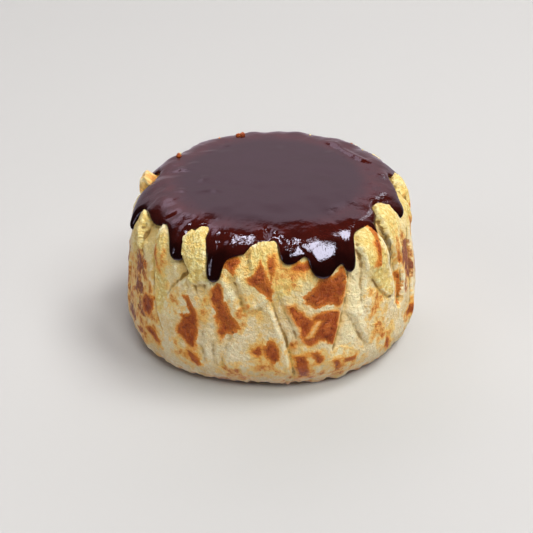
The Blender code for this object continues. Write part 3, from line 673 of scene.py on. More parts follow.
def crumb_relief(angle, length, leaves=True):
    """How far the dressed crumb stands out of the turned form."""
    points = place(angle, length, 0.0)
    lumps, grain = Noise(3), Noise(4)
    total = body_relief(angle, length)
    where = drawn(angle, length, 1)
    ragged = 1.5 * lumps(where, 4.6 * MM) + 0.9 * grain(where, 2.1 * MM)
    chunks = lumps(where, 3.4 * MM) + 0.7 * grain(where, 1.7 * MM)
    for pleat in PLEATS + back_pleats() + small_pleats():
        pleat_relief(angle, length, pleat, total)
    for hollow in HOLLOWS:
        hollow_relief(angle, length, hollow, total)
    if leaves:
        for leaf in LEAVES:
            leaf_relief(angle, length, leaf, total, ragged, chunks)
    uneven = 0.30 * lumps(points, 9 * MM) + 0.20 * grain(points, 4.2 * MM)
    total += MM * (uneven + 0.16 * lumps(points, 2.0 * MM))
    total += MM * 0.15 * grain(drawn(angle, length, 3.5), 3.2 * MM)
    total += MM * (0.8 - 0.5 * bell(turn_between(angle, 0) / 75)) * crumple(where)
    height = OUTLINE.at(length)[1]
    # the foot's ragged edge
    low = bell((height - 2 * MM) / (5 * MM))
    torn = 0.9 * lumps(drawn(angle, length, 6), 4.4 * MM) + 0.6 * grain(drawn(angle, length, 2), 2.4 * MM)
    total += MM * low * torn
    return total * np.clip((height - 0.1 * MM) / (1.6 * MM), 0, 1) * ramp(length / (44 * MM) - 0.5)


# ---- Blender helpers


def new_object(name, data):
    obj = bpy.data.objects.new(name, data)
    bpy.context.scene.collection.objects.link(obj)
    return obj


def aim(obj, location, way, axis):
    """Put the object there, with its axis along way."""
    obj.location = location
    obj.rotation_mode = "QUATERNION"
    obj.rotation_quaternion = way.to_track_quat(axis, "Y")


def mesh_object(name, points, faces):
    mesh = bpy.data.meshes.new(name)
    mesh.from_pydata(np.asarray(points).tolist(), [], faces)
    mesh.validate()
    mesh.update()
    obj = new_object(name, mesh)
    mesh.shade_smooth()
    return obj


def add_values(obj, name, values):
    values = np.asarray(values, np.float32)
    kind = "FLOAT" if values.ndim == 1 else "FLOAT_VECTOR"
    made = obj.data.attributes.new(name, kind, "POINT")
    made.data.foreach_set("value" if values.ndim == 1 else "vector", values.ravel())


class Nodes:
    """The node tree of a material or world, with short calls that make a node and wire it."""

    def __init__(self, owner):
        owner.use_nodes = True
        self.owner, self.tree = owner, owner.node_tree

    def feed(self, sockets, inputs):
        for key, value in dict(inputs).items():
            if isinstance(value, bpy.types.NodeSocket):
                self.tree.links.new(value, sockets[key])
            else:
                sockets[key].default_value = value

    def add(self, kind, inputs=(), **settings):
        node = self.tree.nodes.new(kind)
        for key, value in settings.items():
            setattr(node, key, value)
        self.feed(node.inputs, inputs)
        return node

    def finish(self, name, inputs):
        """Feed the tree's own shader, and give back what the tree belongs to."""
        self.feed(self.tree.nodes[name].inputs, inputs)
        return self.owner

    def math(self, operation, a, b=0.0):
        return self.add("ShaderNodeMath", {0: a, 1: b}, operation=operation).outputs[0]

    def plus(self, a, b):
        return self.math("ADD", a, b)

    def times(self, a, b):
        return self.math("MULTIPLY", a, b)

    def span(self, value, low, high, to_low=0.0, to_high=1.0):
        inputs = {"Value": value, "From Min": low, "From Max": high, "To Min": to_low, "To Max": to_high}
        return self.add("ShaderNodeMapRange", inputs, interpolation_type="SMOOTHSTEP").outputs[0]

    def shifted(self, value, by, low, high, down, up):
        """A value, moved between down and up as by goes from low to high."""
        return self.plus(value, self.span(by, low, high, down, up))

    def mix(self, share, a, b):
        return self.add("ShaderNodeMix", {0: share, 6: a, 7: b}, data_type="RGBA").outputs[2]

    def tint(self, base, value, low, high, share, rgb):
        """The base, up to this share of a colour as the value goes from low to high."""
        return self.mix(self.span(value, low, high, 0.0, share), base, colour(*rgb))

    def value(self, name):
        return self.add("ShaderNodeAttribute", attribute_name=name).outputs["Fac"]

    def vector(self, name):
        return self.add("ShaderNodeAttribute", attribute_name=name).outputs["Vector"]

    def noise(self, vector, scale, detail=3.0, roughness=0.5):
        inputs = {"Vector": vector, "Scale": scale, "Detail": detail, "Roughness": roughness}
        return self.add("ShaderNodeTexNoise", inputs).outputs["Fac"]

    def bump(self, height, distance):
        inputs = {"Height": height, "Distance": distance, "Strength": 1.0}
        return self.add("ShaderNodeBump", inputs).outputs["Normal"]


def colour(red, green, blue):
    """A colour from its sRGB bytes."""
    def linear(byte):
        share = byte / 255
        return share / 12.92 if share <= 0.04045 else ((share + 0.055) / 1.055) ** 2.4
    return (linear(red), linear(green), linear(blue), 1.0)


# ---- the crumb


def blur(field, columns, rows):
    """A box blur of a (row, column) field that wraps round its columns."""
    total = sum(np.roll(field, k, axis=1) for k in range(-columns, columns + 1)) / (2 * columns + 1)
    padded = np.pad(total, ((rows, rows), (0, 0)), mode="edge")
    return sum(padded[k : k + len(field)] for k in range(2 * rows + 1)) / (2 * rows + 1)


def crumb_grid():
    """The angles of the grid's columns and the lengths of its rows."""
    front = np.linspace(-FRONT_HALF, FRONT_HALF, FRONT_COLUMNS, endpoint=False)
    back = np.linspace(FRONT_HALF, 360 - FRONT_HALF, BACK_COLUMNS, endpoint=False)
    last = OUTLINE.length[-1]
    top, base = [14 * MM, 30 * MM, 42 * MM, 48 * MM], [last - 45 * MM, last - 20 * MM]
    side = np.arange(SIDE_START, SIDE_END, ROW_STEP)
    foot = np.linspace(SIDE_END, last - 64 * MM, 9)
    return np.concatenate([front, back]), np.concatenate([top, side, foot, base])


def patch_depth(angle, length, outlines, reach):
    """How deep inside any of the outlines each point is, in mm; less than 0 outside them."""
    deepest = np.full(len(angle), -reach)
    for outline in outlines:
        near, inside = inside_depth(angle, length, outline, reach)
        deepest[near] = np.maximum(deepest[near], inside)
    return np.minimum(deepest / MM, PATCH_DEEPEST)


def back_patches(rng, count, size_low, size_high):
    """Ragged patches for the sides and back that the photo doesn't show."""
    made = []
    for _ in range(count):
        angle, length = rng.uniform(84, 274), rng.uniform(74, 122)
        wide, tall = rng.uniform(size_low, size_high), rng.uniform(size_low * 1.6, size_high * 1.9)
        lean = rng.normal(0, 0.35)
        outline = []
        for turn in np.linspace(0, 2 * math.pi, 11, endpoint=False):
            swing = rng.uniform(0.55, 1.15)
            x, y = wide * swing * math.cos(turn), tall * swing * math.sin(turn)
            outline.append((angle + math.degrees((x + y * lean) / SIDE_RADIUS), length + y))
        made.append(outline)
    return made


def gap_shade(angle, length):
    """How far each point is in a gap too deep for light."""
    painted_gap_shade = np.zeros(len(angle))
    for line in GAPS:
        near, across, along, run = to_line(angle, length, line, GAP_REACH)
        shade = bell(across / GAP_HALF_WIDTH) * ramp(along / GAP_TOP_FADE)
        shade = shade * ramp((run - along) / GAP_BOTTOM_FADE)
        painted_gap_shade[near] = np.maximum(painted_gap_shade[near], GAP_DARKEST * shade)
    return painted_gap_shade


def make_crumb():
    angles, lengths = crumb_grid()
    length, angle = [g.ravel() for g in np.meshgrid(lengths, angles, indexing="ij")]
    relief = crumb_relief(angle, length)
    points = place(angle, length, relief)
    points[:, 2] = np.maximum(points[:, 2], 0.0)
    total = len(points)
    # the last two points close the top and the base
    ends = [place(np.zeros(1), np.full(1, end), 0.0) for end in (0.0, OUTLINE.length[-1])]
    index = np.arange(total).reshape(len(lengths), len(angles))
    beside = np.roll(index, -1, axis=1)
    faces = np.stack([index[:-1], index[1:], beside[1:], beside[:-1]], axis=-1).reshape(-1, 4).tolist()
    faces += [(total, int(a), int(b)) for a, b in zip(index[0], beside[0])]
    faces += [(total + 1, int(b), int(a)) for a, b in zip(index[-1], beside[-1])]
    obj = mesh_object("crumb", np.vstack([points] + ends), faces)

    field = relief.reshape(index.shape)
    rng = np.random.default_rng(5)
    brown = patch_depth(angle, length, BROWN + back_patches(rng, 13, 2.6, 5.0), 4 * MM)
    brown = np.minimum(brown, 0.35 - 0.9 * patch_depth(angle, length, PALE, 2 * MM))
    purple = patch_depth(angle, length, PURPLE + back_patches(rng, 7, 2.6, 5.0), 5 * MM)
    toast = patch_depth(angle, length, TOAST + back_patches(rng, 26, 4.0, 9.0), 9 * MM)
    # what the material reads, and its value at the two ends
    for name, values, end in (
        ("brown", brown, -4),
        ("purple", purple, -5),
        ("toast", toast, -9),
        # painted shade in the gaps too deep for light
        ("painted_gap_shade", gap_shade(angle, length), 0),
        ("yellow", patch_depth(angle, length, YELLOW, 3 * MM), -3),
        ("silky", patch_depth(angle, length, SILKY, 3 * MM), -3),
        # how far each point lies below its blurred surroundings: the material paints shade in the creases and
        # a highlight where the crumb stands proud
        ("crease_shade_ridge_light", (blur(field, 3, 3) - field).ravel() / MM, 0),
        # the same over a wider reach: the material paints shade in the broad hollows
        ("broad_hollow_shade", (blur(field, 11, 10) - field).ravel() / MM, 0),
        ("height", OUTLINE.at(length)[1] / MM, 0),
    ):
        add_values(obj, name, np.concatenate([values, [end, end]]))
    add_values(obj, "drawn", np.vstack([drawn(angle, length, 1) / MM, np.zeros((2, 3))]))
    obj.data.materials.append(crumb_material())
    return obj


def crumb_material():
    n = Nodes(bpy.data.materials.new("crumb_look"))
    where = n.vector("drawn")  # millimetres
    long = n.add("ShaderNodeVectorMath", {0: where, 1: (1.0, 1.0, 0.7)}, operation="MULTIPLY").outputs[0]
    crease_shade_ridge_light, height = n.value("crease_shade_ridge_light"), n.value("height")
    mottle = n.noise(where, 0.075, 3.0, 0.55)
    blotch = n.noise(where, 0.24, 3.0, 0.55)
    dapple = n.noise(where, 0.55, 3.0, 0.6)
    speck = n.noise(where, 1.15, 3.0, 0.6)
    fine = n.noise(where, 2.6, 2.0, 0.6)
    streak = n.noise(long, 0.42, 3.0, 0.6)

    # pale crumb: yellower near the rim and paler where it is smooth; paler where it stands proud, a painted
    # highlight, and golden in its hollows, painted shade
    pale = n.mix(n.span(mottle, 0.38, 0.62), colour(240, 223, 182), colour(234, 206, 146))
    pale = n.tint(pale, dapple, 0.46, 0.70, 0.75, (253, 240, 208))
    pale = n.tint(pale, speck, 0.46, 0.30, 0.5, (234, 188, 110))
    pale = n.tint(pale, height, 40.0, 64.0, 0.5, (246, 218, 124))
    silky = n.span(n.shifted(n.value("silky"), blotch, 0.3, 0.7, -1.0, 1.0), -2.0, 0.6)
    pale = n.mix(n.times(silky, 0.6), pale, colour(250, 240, 196))
    # painted highlight: paler where the crumb stands proud of its surroundings
    pale = n.tint(pale, crease_shade_ridge_light, -0.05, -0.35, 0.6, (253, 243, 206))
    yellow = n.shifted(n.value("yellow"), blotch, 0.3, 0.7, -1.6, 1.6)
    butter = n.mix(n.span(dapple, 0.4, 0.65), colour(226, 192, 100), colour(248, 232, 160))
    pale = n.mix(n.span(yellow, -1.6, 1.0, 0.0, 0.85), pale, butter)
    # painted shade: golden and darker in the broad hollows
    pale = n.tint(pale, n.value("broad_hollow_shade"), 0.1, 1.4, 0.5, (230, 182, 90))
    # painted shade: dark olive in the narrow creases
    pale = n.tint(pale, crease_shade_ridge_light, 0.12, 0.55, 0.9, (156, 120, 54))

    # toasted freckles and washes: golden, then orange; streaks only on the flanks, and a band at the foot
    split = n.add("ShaderNodeSeparateXYZ", {0: where})
    flank = n.span(n.math("ABSOLUTE", split.outputs["X"]), 52.0, 62.0)
    wash = n.shifted(n.value("toast"), blotch, 0.32, 0.68, -4.4, 3.4)
    wash = n.shifted(wash, n.mix(flank, dapple, streak), 0.34, 0.66, -1.3, 1.1)
    wash = n.shifted(wash, speck, 0.32, 0.68, -0.8, 0.8)
    foot = n.shifted(n.span(height, 8.0, 0.6, -4.8, 3.6), blotch, 0.32, 0.68, -2.6, 2.4)
    wash = n.math("MAXIMUM", wash, foot)
    base = n.tint(pale, wash, -4.4, 0.8, 0.8, (246, 202, 112))
    base = n.tint(base, wash, 0.2, 4.2, 0.9, (232, 156, 68))
    base = n.tint(base, wash, 3.4, 6.4, 0.85, (192, 104, 42))

    # bloomed brown
    dusk = n.shifted(n.value("purple"), streak, 0.36, 0.64, -1.9, 1.5)
    dusk = n.shifted(dusk, blotch, 0.34, 0.66, -1.4, 1.2)
    base = n.tint(base, dusk, -2.6, 0.4, 0.85, (196, 122, 62))
    base = n.tint(base, dusk, -0.2, 1.8, 0.85, (142, 80, 62))

    # chestnut crust, with a toasted halo and a golden rim
    bark = n.shifted(n.value("brown"), blotch, 0.3, 0.7, -0.55, 0.55)
    bark = n.shifted(bark, dapple, 0.3, 0.7, -0.35, 0.35)
    bark = n.shifted(bark, speck, 0.3, 0.7, -0.15, 0.15)
    halo = n.math("DIVIDE", bark, n.span(mottle, 0.42, 0.58, 0.34, 2.1))
    base = n.tint(base, halo, -1.6, 0.0, 0.75, (246, 184, 84))
    base = n.tint(base, halo, -0.8, 0.1, 0.9, (230, 142, 52))
    crust = n.mix(n.span(blotch, 0.36, 0.66), colour(150, 64, 22), colour(188, 94, 36))
    rim = n.shifted(bark, mottle, 0.36, 0.64, -0.6, 1.0)
    crust = n.tint(crust, rim, 1.9, 0.2, 0.8, (218, 130, 46))
    crust = n.tint(crust, dapple, 0.52, 0.74, 0.4, (214, 132, 58))
    crust = n.tint(crust, dapple, 0.46, 0.32, 0.75, (112, 44, 16))
    base = n.mix(n.span(bark, -0.30, 0.40), base, crust)

    # painted shade: the hollows are duller, and the gaps dark
    base = n.tint(base, crease_shade_ridge_light, 0.15, 0.6, 0.32, (128, 92, 44))
    # painted shade: the gaps go dark brown
    base = n.mix(n.value("painted_gap_shade"), base, colour(84, 58, 24))

    grain = n.plus(n.times(dapple, 2.2), n.times(speck, 1.3))
    grain = n.plus(grain, n.times(fine, 0.4))
    look = {
        "Base Color": base,
        "Roughness": n.span(fine, 0.3, 0.7, 0.34, 0.52),
        "Specular IOR Level": 0.28,
        "Subsurface Weight": 0.10,
        "Subsurface Radius": (1.0, 0.7, 0.35),
        "Subsurface Scale": 0.9 * MM,
        "Normal": n.bump(grain, 0.72 * MM),
    }
    return n.finish("Principled BSDF", look)


RIM_CRUMB_LIFT = 2.9 * MM  # how far out of the turned form their middles are
# Loose crumbs on the rim: (angle, length, size in mm, how toasted)
RIM_CRUMBS = [
    (135, 58, 2.8, 2.4),
    (121.5, 60, 3.0, -6),
    (127, 58.6, 1.3, -4),
    (-163, 52, 3.6, 2.4),
    (-160.6, 52.6, 2.4, 2.4),
    (-118, 53, 2.8, 2.0),
    (-121, 54, 1.4, -2),
    (-150, 55, 1.2, 1.0),
    (158, 56, 1.1, 0.0),
]


def make_rim_crumbs():
    rng = np.random.default_rng(9)
    knobs = Noise(10)
    points, faces, toast = [], [], []
    around, down = 14, 9
    u = np.linspace(0, 2 * math.pi, around, endpoint=False)
    v = np.linspace(0.12, math.pi - 0.12, down)[:, None]
    ball = np.stack([np.sin(v) * np.cos(u), np.sin(v) * np.sin(u), np.cos(v) + 0 * u], axis=-1).reshape(-1, 3)
    for angle, length, size, toasted in RIM_CRUMBS:
        middle = place(np.array([angle]), np.array([length * MM]), RIM_CRUMB_LIFT)[0]
        stretch = rng.uniform(0.7, 1.3, 3)
        rough = 1 + 0.35 * knobs(ball + rng.uniform(0, 9, 3), 0.7)
        first = len(points)
        points += list(middle + ball * rough[:, None] * stretch * size * MM / 2)
        toast += [toasted] * len(ball)
        for i in range(down - 1):
            for j in range(around):
                a, b = first + i * around + j, first + i * around + (j + 1) % around
                faces.append((a, a + around, b + around, b))
        faces.append(tuple(first + j for j in range(around)))
        faces.append(tuple(first + (down - 1) * around + j for j in reversed(range(around))))
    obj = mesh_object("rim_crumbs", points, faces)
    toast = np.array(toast)
    plain = {"purple": -5, "silky": -3, "painted_gap_shade": 0, "yellow": 1, "crease_shade_ridge_light": 0, "broad_hollow_shade": 0, "height": 70}
    add_values(obj, "toast", toast)
    add_values(obj, "brown", toast * 2.8 - 3.0)
    for name, value in plain.items():
        add_values(obj, name, np.full(len(points), value))
    add_values(obj, "drawn", np.array(points) / MM)
    obj.data.materials.append(bpy.data.materials["crumb_look"])
    return obj


# ---- the glaze


def flat_point(angle, length):
    """The glaze laid flat: a plane with the middle of the top in its middle."""
    turn = np.radians(angle)
    return np.stack([length * np.sin(turn), -length * np.cos(turn)], axis=-1)


def from_flat(points):
    return np.degrees(np.arctan2(points[:, 0], -points[:, 1])), np.hypot(points[:, 0], points[:, 1])


def back_edge():
    """The edge round the back: its sheet, with a rounded drip wherever one is named."""
    points = [(a % 360, s) for a, s in BACK_EDGE]
    root = 62.0
    for angle, width, tip in BACK_DRIPS:
        half, waist = width / 2, (root + tip) / 2 - 0.5
        # one side of the drip from its root to its tip, as (share of its half width, length)
        side = [(1.9, root + 0.2), (1.35, root + 2.2), (1.02, waist)]
        side += [(0.96, tip - half), (0.7, tip - half * 0.35)]
        for right, down in [(0, tip)] + side + [(-right, down) for right, down in side]:
            points.append((angle % 360 + math.degrees(right * half / DRIP_RADIUS), down))
    return sorted(points)


def spline(points, spacing):
    """A closed smooth curve through the points, with even steps."""
    before, after, later = (np.roll(points, k, axis=0) for k in (1, -1, -2))
    parts = []
    for t in np.linspace(0, 1, 24, endpoint=False):
        a = -0.5 * t + t * t - 0.5 * t**3
        b = 1 - 2.5 * t * t + 1.5 * t**3
        c = 0.5 * t + 2 * t * t - 1.5 * t**3
        d = -0.5 * t * t + 0.5 * t**3
        parts.append(a * before + b * points + c * after + d * later)
    dense = np.stack(parts, axis=1).reshape(-1, 2)
    closed = np.vstack([dense, dense[:1]])
    run = np.concatenate([[0], np.cumsum(np.hypot(*np.diff(closed, axis=0).T))])
    steps = np.linspace(0, run[-1], int(run[-1] / spacing), endpoint=False)
    return np.stack([np.interp(steps, run, closed[:, k]) for k in (0, 1)], axis=-1)


def hex_grid(spacing, inner, outer):
    """Points of a triangular grid between two distances from the middle."""
    rise = spacing * math.sqrt(3) / 2
    count = int(outer / rise) + 1
    rows = np.arange(-count, count + 1)
    columns = np.arange(-int(outer / spacing) - 1, int(outer / spacing) + 2)
    y, x = np.meshgrid(rows * rise, columns * spacing, indexing="ij")
    x = x + (rows % 2)[:, None] * spacing / 2
    points = np.stack([x.ravel(), y.ravel()], axis=-1)
    far = np.hypot(*points.T)
    return points[(far >= inner) & (far < outer)]


def distance_to(curve, points):
    tree = KDTree(len(curve))
    for i, (x, y) in enumerate(curve):
        tree.insert((x, y, 0), i)
    tree.balance()
    return np.array([tree.find((x, y, 0))[2] for x, y in points])


def thinned(points, spacing):
    """The points without those that crowd an earlier one."""
    cells, kept = {}, []
    for i, (x, y) in enumerate(points):
        cx, cy = int(math.floor(x / spacing)), int(math.floor(y / spacing))
        close = False
        for ox in (-1, 0, 1):
            for oy in (-1, 0, 1):
                for px, py in cells.get((cx + ox, cy + oy), ()):
                    close = close or (px - x) ** 2 + (py - y) ** 2 < spacing**2
        if not close:
            cells.setdefault((cx, cy), []).append((x, y))
            kept.append(i)
    return points[kept]


def triangles(curve, others):
    """The curve's points and then the others, and triangles of them that fill the closed curve."""
    points = np.vstack([curve, others])
    ring = list(range(len(curve)))
    made = delaunay_2d_cdt([Vector(p / MM) for p in points], [], [ring], 1, 1e-7)
    faces, sources = made[2], made[3]
    source = {i: own[0] for i, own in enumerate(sources) if own}
    return points, [tuple(source[i] for i in f) for f in faces if all(i in source for i in f)]


def inward(curve):
    ahead = np.roll(curve, -1, axis=0) - np.roll(curve, 1, axis=0)
    ahead /= np.hypot(*ahead.T)[:, None]
    normal = np.stack([-ahead[:, 1], ahead[:, 0]], axis=-1)
    area = np.sum(curve[:, 0] * np.roll(curve[:, 1], -1) - np.roll(curve[:, 0], -1) * curve[:, 1])
    return normal if area > 0 else -normal


class Field:
    """A smooth copy of the crumb's relief under the glaze, and the relief itself, to read at any point."""

    STEP, ROW = 0.75, 0.7 * MM  # degrees, metres

    def __init__(self):
        self.angles = np.arange(-180, 180, self.STEP)
        self.lengths = np.arange(20 * MM, 92 * MM, self.ROW)
        length, angle = [g.ravel() for g in np.meshgrid(self.lengths, self.angles, indexing="ij")]
        shape = (len(self.lengths), len(self.angles))
        self.real = crumb_relief(angle, length).reshape(shape)
        bare = crumb_relief(angle, length, leaves=False).reshape(shape)
        self.smooth = blur(blur(np.clip(bare, -1.6 * MM, 1.4 * MM), 3, 3), 3, 3)

    def read(self, field, angle, length):
        column = (angle + 180) / self.STEP
        left = np.floor(column).astype(int)
        u = column - left
        row = np.clip((length - self.lengths[0]) / self.ROW, 0, len(self.lengths) - 1.001)
        top = row.astype(int)
        v = row - top
        wide = len(self.angles)
        a, b = left % wide, (left + 1) % wide
        upper = field[top, a] * (1 - u) + field[top, b] * u
        lower = field[top + 1, a] * (1 - u) + field[top + 1, b] * u
        return upper * (1 - v) + lower * v


def glaze_thickness(length, depth):
    """How thick the glaze is, this deep inside its edge."""
    full = SHEET_THICKNESS + DRIP_THICKENING * ramp((length - THICKENING_START) / THICKENING_RUN)
    wide = BEAD_WIDTH * (1 + BEAD_WIDENING * ramp((length - WIDENING_START) / WIDENING_RUN))
    share = np.clip(depth / wide, 0, 1)
    rise = np.sqrt(np.clip(1 - (1 - share) ** 2, 0, 1))
    return full * (BEAD_WIDEST + (1 - BEAD_WIDEST) * rise)


def spread(angle, length):
    """Points for noise on the glaze laid flat."""
    return np.column_stack([flat_point(angle, length), np.zeros(len(angle))])


def glaze_waves(angle, length):
    """The slow unevenness of the glaze's surface."""
    where = spread(angle, length)
    slow, quick = Noise(11), Noise(12)
    waves = 0.44 * slow(where, 19 * MM) + 0.16 * quick(where, 8 * MM) + 0.02 * slow(where, 3.4 * MM)
    shoulder = bell((length - 54 * MM) / (9 * MM))
    ripples = 0.40 * quick(where, 11 * MM) + 0.12 * slow(where, 4.6 * MM) + 0.05 * quick(where, 2.2 * MM)
    waves += shoulder * ripples
    flat = where[:, :2] / MM
    for at, down, half_width, height in GLAZE_LUMPS:
        middle = flat_point(np.array([at]), np.array([float(down)]))
        waves += height * bell(np.hypot(*(flat - middle).T) / half_width)
    for line, height, half_width in GLAZE_RIDGES:
        corners = flat_point(*np.array(line, float).T)
        steps = np.linspace(0, 1, 9)
        dense = np.vstack([a + (b - a) * f for a, b in zip(corners, corners[1:]) for f in steps])
        fade = bell(np.linspace(-1.15, 1.15, len(dense)) ** 3)
        window = np.nonzero(np.hypot(*(flat - dense.mean(axis=0)).T) < 24)[0]
        near = [bell(np.hypot(*(flat[window] - p).T) / half_width) * f for p, f in zip(dense, fade)]
        waves[window] += height * np.max(near, axis=0)
    droop = 0.6 * bell(turn_between(angle, 0) / 62) * ramp((length - 38 * MM) / (13 * MM))
    droop *= 1 - ramp((length - 56 * MM) / (12 * MM))
    return MM * (waves - droop)


def within(curve, points, depth):
    """The points deeper than this inside the curve."""
    points = points[is_inside(curve, points)]
    return points[distance_to(curve, points) > depth]


def glaze_grid(curve, into):
    """Points inside the glaze's edge: rows that follow it, then grids that are coarser."""
    rows = []
    for depth in EDGE_ROWS[::-1]:
        row = curve + into * depth * MM
        far = distance_to(curve, row)
        rows.append(row[(far > ROW_CLEARANCE * depth * MM) & is_inside(curve, row)])
    chest = within(curve, hex_grid(CHEST_SPACING, TOP_REACH, GLAZE_REACH), GRID_START)
    return np.vstack([thinned(np.vstack(rows), ROW_CROWDING), chest, hex_grid(TOP_SPACING, 0, TOP_REACH)])


def make_glaze():
    field = Field()
    corners = np.array(FRONT_EDGE + back_edge(), float)
    curve = spline(flat_point(corners[:, 0], corners[:, 1] * MM), EDGE_SPACING)
    into = inward(curve)
    flat, faces = triangles(curve, glaze_grid(curve, into))
    count, made = len(curve), len(flat)
    angle, length = from_flat(flat)
    depth = distance_to(curve, flat)
    lift = field.read(field.smooth, angle, length) + glaze_thickness(length, depth)
    lift += glaze_waves(angle, length) * ramp(depth / (3 * MM))
    rings = [place(angle, length, lift)]

    # the edge rolls under, down into the crumb
    widest = BEAD_WIDEST * glaze_thickness(length[:count], 1.0)
    for inset, share in EDGE_ROLL:
        a, s = from_flat(curve + into * inset * MM)
        rings.append(place(a, s, field.read(field.smooth, a, s) + share * widest))
    a, s = from_flat(curve + into * ROLL_END)
    lowest = np.minimum(field.read(field.real, a, s), field.read(field.smooth, a, s))
    rings.append(place(a, s, lowest - ROLL_SUNK))
    ring = np.arange(count)
    starts = [0] + [made + k * count for k in range(len(EDGE_ROLL) + 1)]
    for high, low in zip(starts, starts[1:]):
        beside = np.roll(ring, -1)
        faces += np.stack([high + ring, low + ring, low + beside, high + beside], axis=-1).tolist()

    # closed underneath, inside the crumb
    under = within(curve, hex_grid(UNDER_SPACING, 0, GLAZE_REACH), UNDER_START)
    low_flat, low_faces = triangles(curve, under)
    a, s = from_flat(low_flat[count:])
    rings.append(place(a, s, np.minimum(field.read(field.real, a, s), 0) - UNDER_SUNK))
    faces += [tuple(starts[-1] + i for i in reversed(face)) for face in low_faces]
    obj = mesh_object("poured_glaze", np.vstack(rings), faces)
    rolls = len(EDGE_ROLL) + 1
    all_angle = np.concatenate([angle, np.tile(angle[:count], rolls), a])
    all_length = np.concatenate([length, np.tile(length[:count], rolls), s])
    add_values(obj, "drawn", spread(all_angle, all_length) / MM)
    add_values(obj, "run", all_length / MM)
    obj.data.materials.append(glaze_material())
    return obj


def glaze_material():
    n = Nodes(bpy.data.materials.new("chocolate_look"))
    where, run = n.vector("drawn"), n.value("run")  # millimetres
    cloud = n.noise(where, 0.12, 3.0, 0.5)
    # lighter red-brown on the chest: thinner glaze, and partly painted light for the light that falls on it
    # there
    thin_glaze_lit_chest = n.mix(n.span(cloud, 0.3, 0.7), colour(50, 12, 7), colour(64, 17, 10))
    thin_glaze_lit_chest = n.tint(thin_glaze_lit_chest, run, 50, 40, 1.0, (38, 8, 6))
    # darker down the drips: thicker glaze, and partly painted shade as they turn from the light
    thick_glaze_drip_shade = n.shifted(run, cloud, 0.3, 0.7, -4.0, 4.0)
    ripple = n.times(n.noise(where, 0.40, 2.0, 0.5), 0.9)
    grit = n.times(n.noise(where, 1.3, 2.0, 0.5), 0.35)
    chest = n.times(n.span(run, 40, 50), n.span(run, 78, 62, 0.6, 1.0))
    strength = n.plus(n.times(chest, 0.85), 0.15)
    rough = n.times(n.plus(ripple, grit), strength)
    look = {
        "Base Color": n.tint(thin_glaze_lit_chest, thick_glaze_drip_shade, 55, 68, 1.0, (22, 3, 1)),
        "Roughness": n.span(n.noise(where, 0.5, 2.0), 0.3, 0.7, 0.05, 0.08),
        "IOR": 1.5,
        "Specular Tint": (0.93, 0.83, 1.0, 1.0),
        "Normal": n.bump(rough, 0.17 * MM),
    }
    return n.finish("Principled BSDF", look)


# ---- the studio

BACKDROP, ROOM, BELOW = 0.78, 0.04, 1.1  # how bright each part of the surroundings is
FLOOR_HALF_SIZE = 6.0
LIGHTS_AIM = 50 * MM
PHOTO_WIDTH, SENSOR_WIDTH = 533, 36.0  # pixels, mm
CAMERA_ELEVATION, CAMERA_DISTANCE, CAMERA_FOCAL = 29.0, 511 * MM, 1015.0  # degrees, metres, pixels
CAMERA_AIM = 41 * MM
CAMERA_SHIFT = (4.0, 21.5)  # how far right of and above the frame's middle that is, in pixels

# Soft lights that light the cake, then panels that are only mirrored in it: name, power, size, azimuth (0 in
# front, 90 to the right), elevation, distance, tint, and what they do
LIGHTS = [
    ("key", 72.0, (1.28, 1.28), 104, 62, 3.2, (1.0, 1.0, 1.0), "light"),
    ("left_front", 15.0, (1.36, 1.36), -62, 30, 3.0, (0.97, 0.98, 1.0), "light"),
    ("front", 43.0, (1.2, 1.0), 20, 56, 3.0, (1.0, 1.0, 0.995), "light"),
    ("right", 21.0, (0.8, 0.8), 62, 48, 2.8, (1.0, 1.0, 0.995), "light"),
    ("above", 13.0, (4.0, 4.0), 0, 90, 3.0, (0.97, 0.985, 1.0), "light"),
    ("back", 48.0, (4.2, 2.2), 182, 20, 3.5, (1.0, 1.0, 1.0), "light"),
    ("window", 46.0, (1.15, 0.62), 76, 71, 2.2, (0.86, 0.96, 1.0), "mirror"),
    ("strip", 1.1, (0.10, 0.40), 146, 40, 2.0, (0.86, 0.96, 1.0), "mirror"),
    ("slot", 6.0, (0.30, 0.18), 205, 81, 1.8, (0.86, 0.96, 1.0), "mirror"),
    ("left_panel", 7.0, (0.30, 1.3), -70, 16, 2.4, (0.84, 0.90, 1.0), "mirror"),
]


def make_floor():
    corners = [(x * FLOOR_HALF_SIZE, y * FLOOR_HALF_SIZE, 0) for x, y in ((-1, -1), (1, -1), (1, 1), (-1, 1))]
    obj = mesh_object("floor", corners, [(0, 1, 2, 3)])
    n = Nodes(bpy.data.materials.new("floor_look"))
    look = {"Base Color": colour(183, 182, 179), "Roughness": 0.9, "Specular IOR Level": 0.0}
    obj.data.materials.append(n.finish("Principled BSDF", look))
    obj.visible_glossy = False


def add_light(name, power, size, azimuth, elevation, distance, tint, does):
    """A soft light, or a panel, that looks at the cake."""
    light = bpy.data.lights.new(name, "AREA")
    light.energy = power
    light.shape = "RECTANGLE"
    light.size, light.size_y = size
    light.color = tint
    obj = new_object(name, light)
    a, e = math.radians(azimuth), math.radians(elevation)
    way = Vector((math.sin(a) * math.cos(e), -math.cos(a) * math.cos(e), math.sin(e)))
    aim(obj, way * distance + Vector((0, 0, LIGHTS_AIM)), way, "Z")
    obj.visible_glossy = does == "mirror"
    obj.visible_diffuse = does == "light"


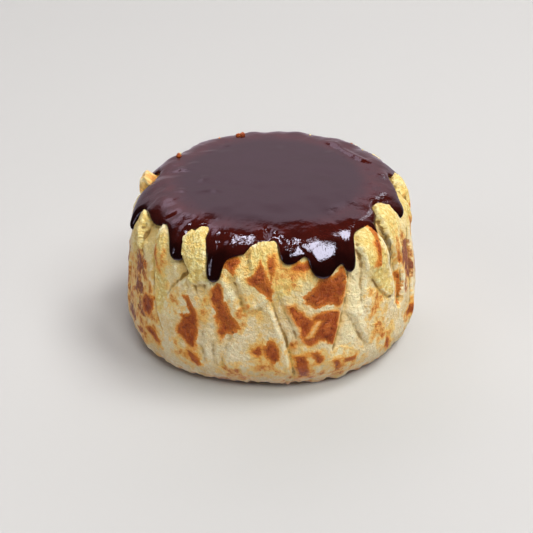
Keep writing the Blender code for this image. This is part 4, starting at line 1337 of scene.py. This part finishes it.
def make_world():
    """A pale backdrop behind the cake, under a dim ceiling and in a dim room."""
    world = bpy.data.worlds.new("studio")
    bpy.context.scene.world = world
    n = Nodes(world)
    way = n.add("ShaderNodeTexCoord").outputs["Generated"]
    x, y, z = n.add("ShaderNodeSeparateXYZ", {0: way}).outputs[:3]

    # the backdrop stands further back to the right, and its top slopes down to the right
    right = n.times(n.math("MAXIMUM", x, 0.0), 0.5)
    height = n.plus(z, n.times(x, 0.25))
    backdrop = n.span(n.math("SUBTRACT", y, right), 0.28, 0.44)
    backdrop = n.times(backdrop, n.span(height, 0.68, 0.75, 1.0, 0.0))
    backdrop = n.times(backdrop, n.span(x, -0.74, -0.58))
    backdrop = n.times(backdrop, n.span(z, 0.32, 0.62, 0.74 * BACKDROP, 1.26 * BACKDROP))
    # and shines along its upper edge, to both sides
    shine = n.times(n.span(n.math("ABSOLUTE", x), 0.08, 0.24), n.span(z, 0.58, 0.68, 0.0, 1.5))
    backdrop = n.times(backdrop, n.plus(shine, 1.0))
    below = n.span(z, -0.70, -0.90, 0.0, BELOW)
    strength = n.plus(n.plus(backdrop, ROOM), below)
    n.finish("Background", {"Strength": strength, "Color": (1.0, 0.87, 1.0, 1.0)})


def make_camera():
    """As the photo was taken, with the cake's middle a little right of and above the frame's."""
    elevation, pixel = math.radians(CAMERA_ELEVATION), CAMERA_DISTANCE / CAMERA_FOCAL
    target = Vector((0, 0, CAMERA_AIM))
    up = Vector((0, math.sin(elevation), math.cos(elevation)))
    back = Vector((0, -CAMERA_DISTANCE * math.cos(elevation), CAMERA_DISTANCE * math.sin(elevation)))
    eye = target + back
    right, above = CAMERA_SHIFT
    middle = target - Vector((right * pixel, 0, 0)) - up * (above * pixel)
    camera = bpy.data.cameras.new("camera")
    camera.sensor_width = SENSOR_WIDTH
    camera.lens = CAMERA_FOCAL / PHOTO_WIDTH * SENSOR_WIDTH
    camera.clip_start, camera.clip_end = 0.01, 50.0
    obj = new_object("camera", camera)
    aim(obj, eye, middle - eye, "-Z")
    bpy.context.scene.camera = obj


def main():
    crumb = make_crumb()
    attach(crumb, "root")
    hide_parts("cake")
    crumbs = make_rim_crumbs()
    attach(crumbs, "root")
    glaze = make_glaze()
    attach(glaze, "root")
    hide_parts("glaze")
    make_floor()
    make_world()
    for light in LIGHTS:
        add_light(*light)
    make_camera()
    bpy.context.scene.view_settings.view_transform = "Standard"


main()
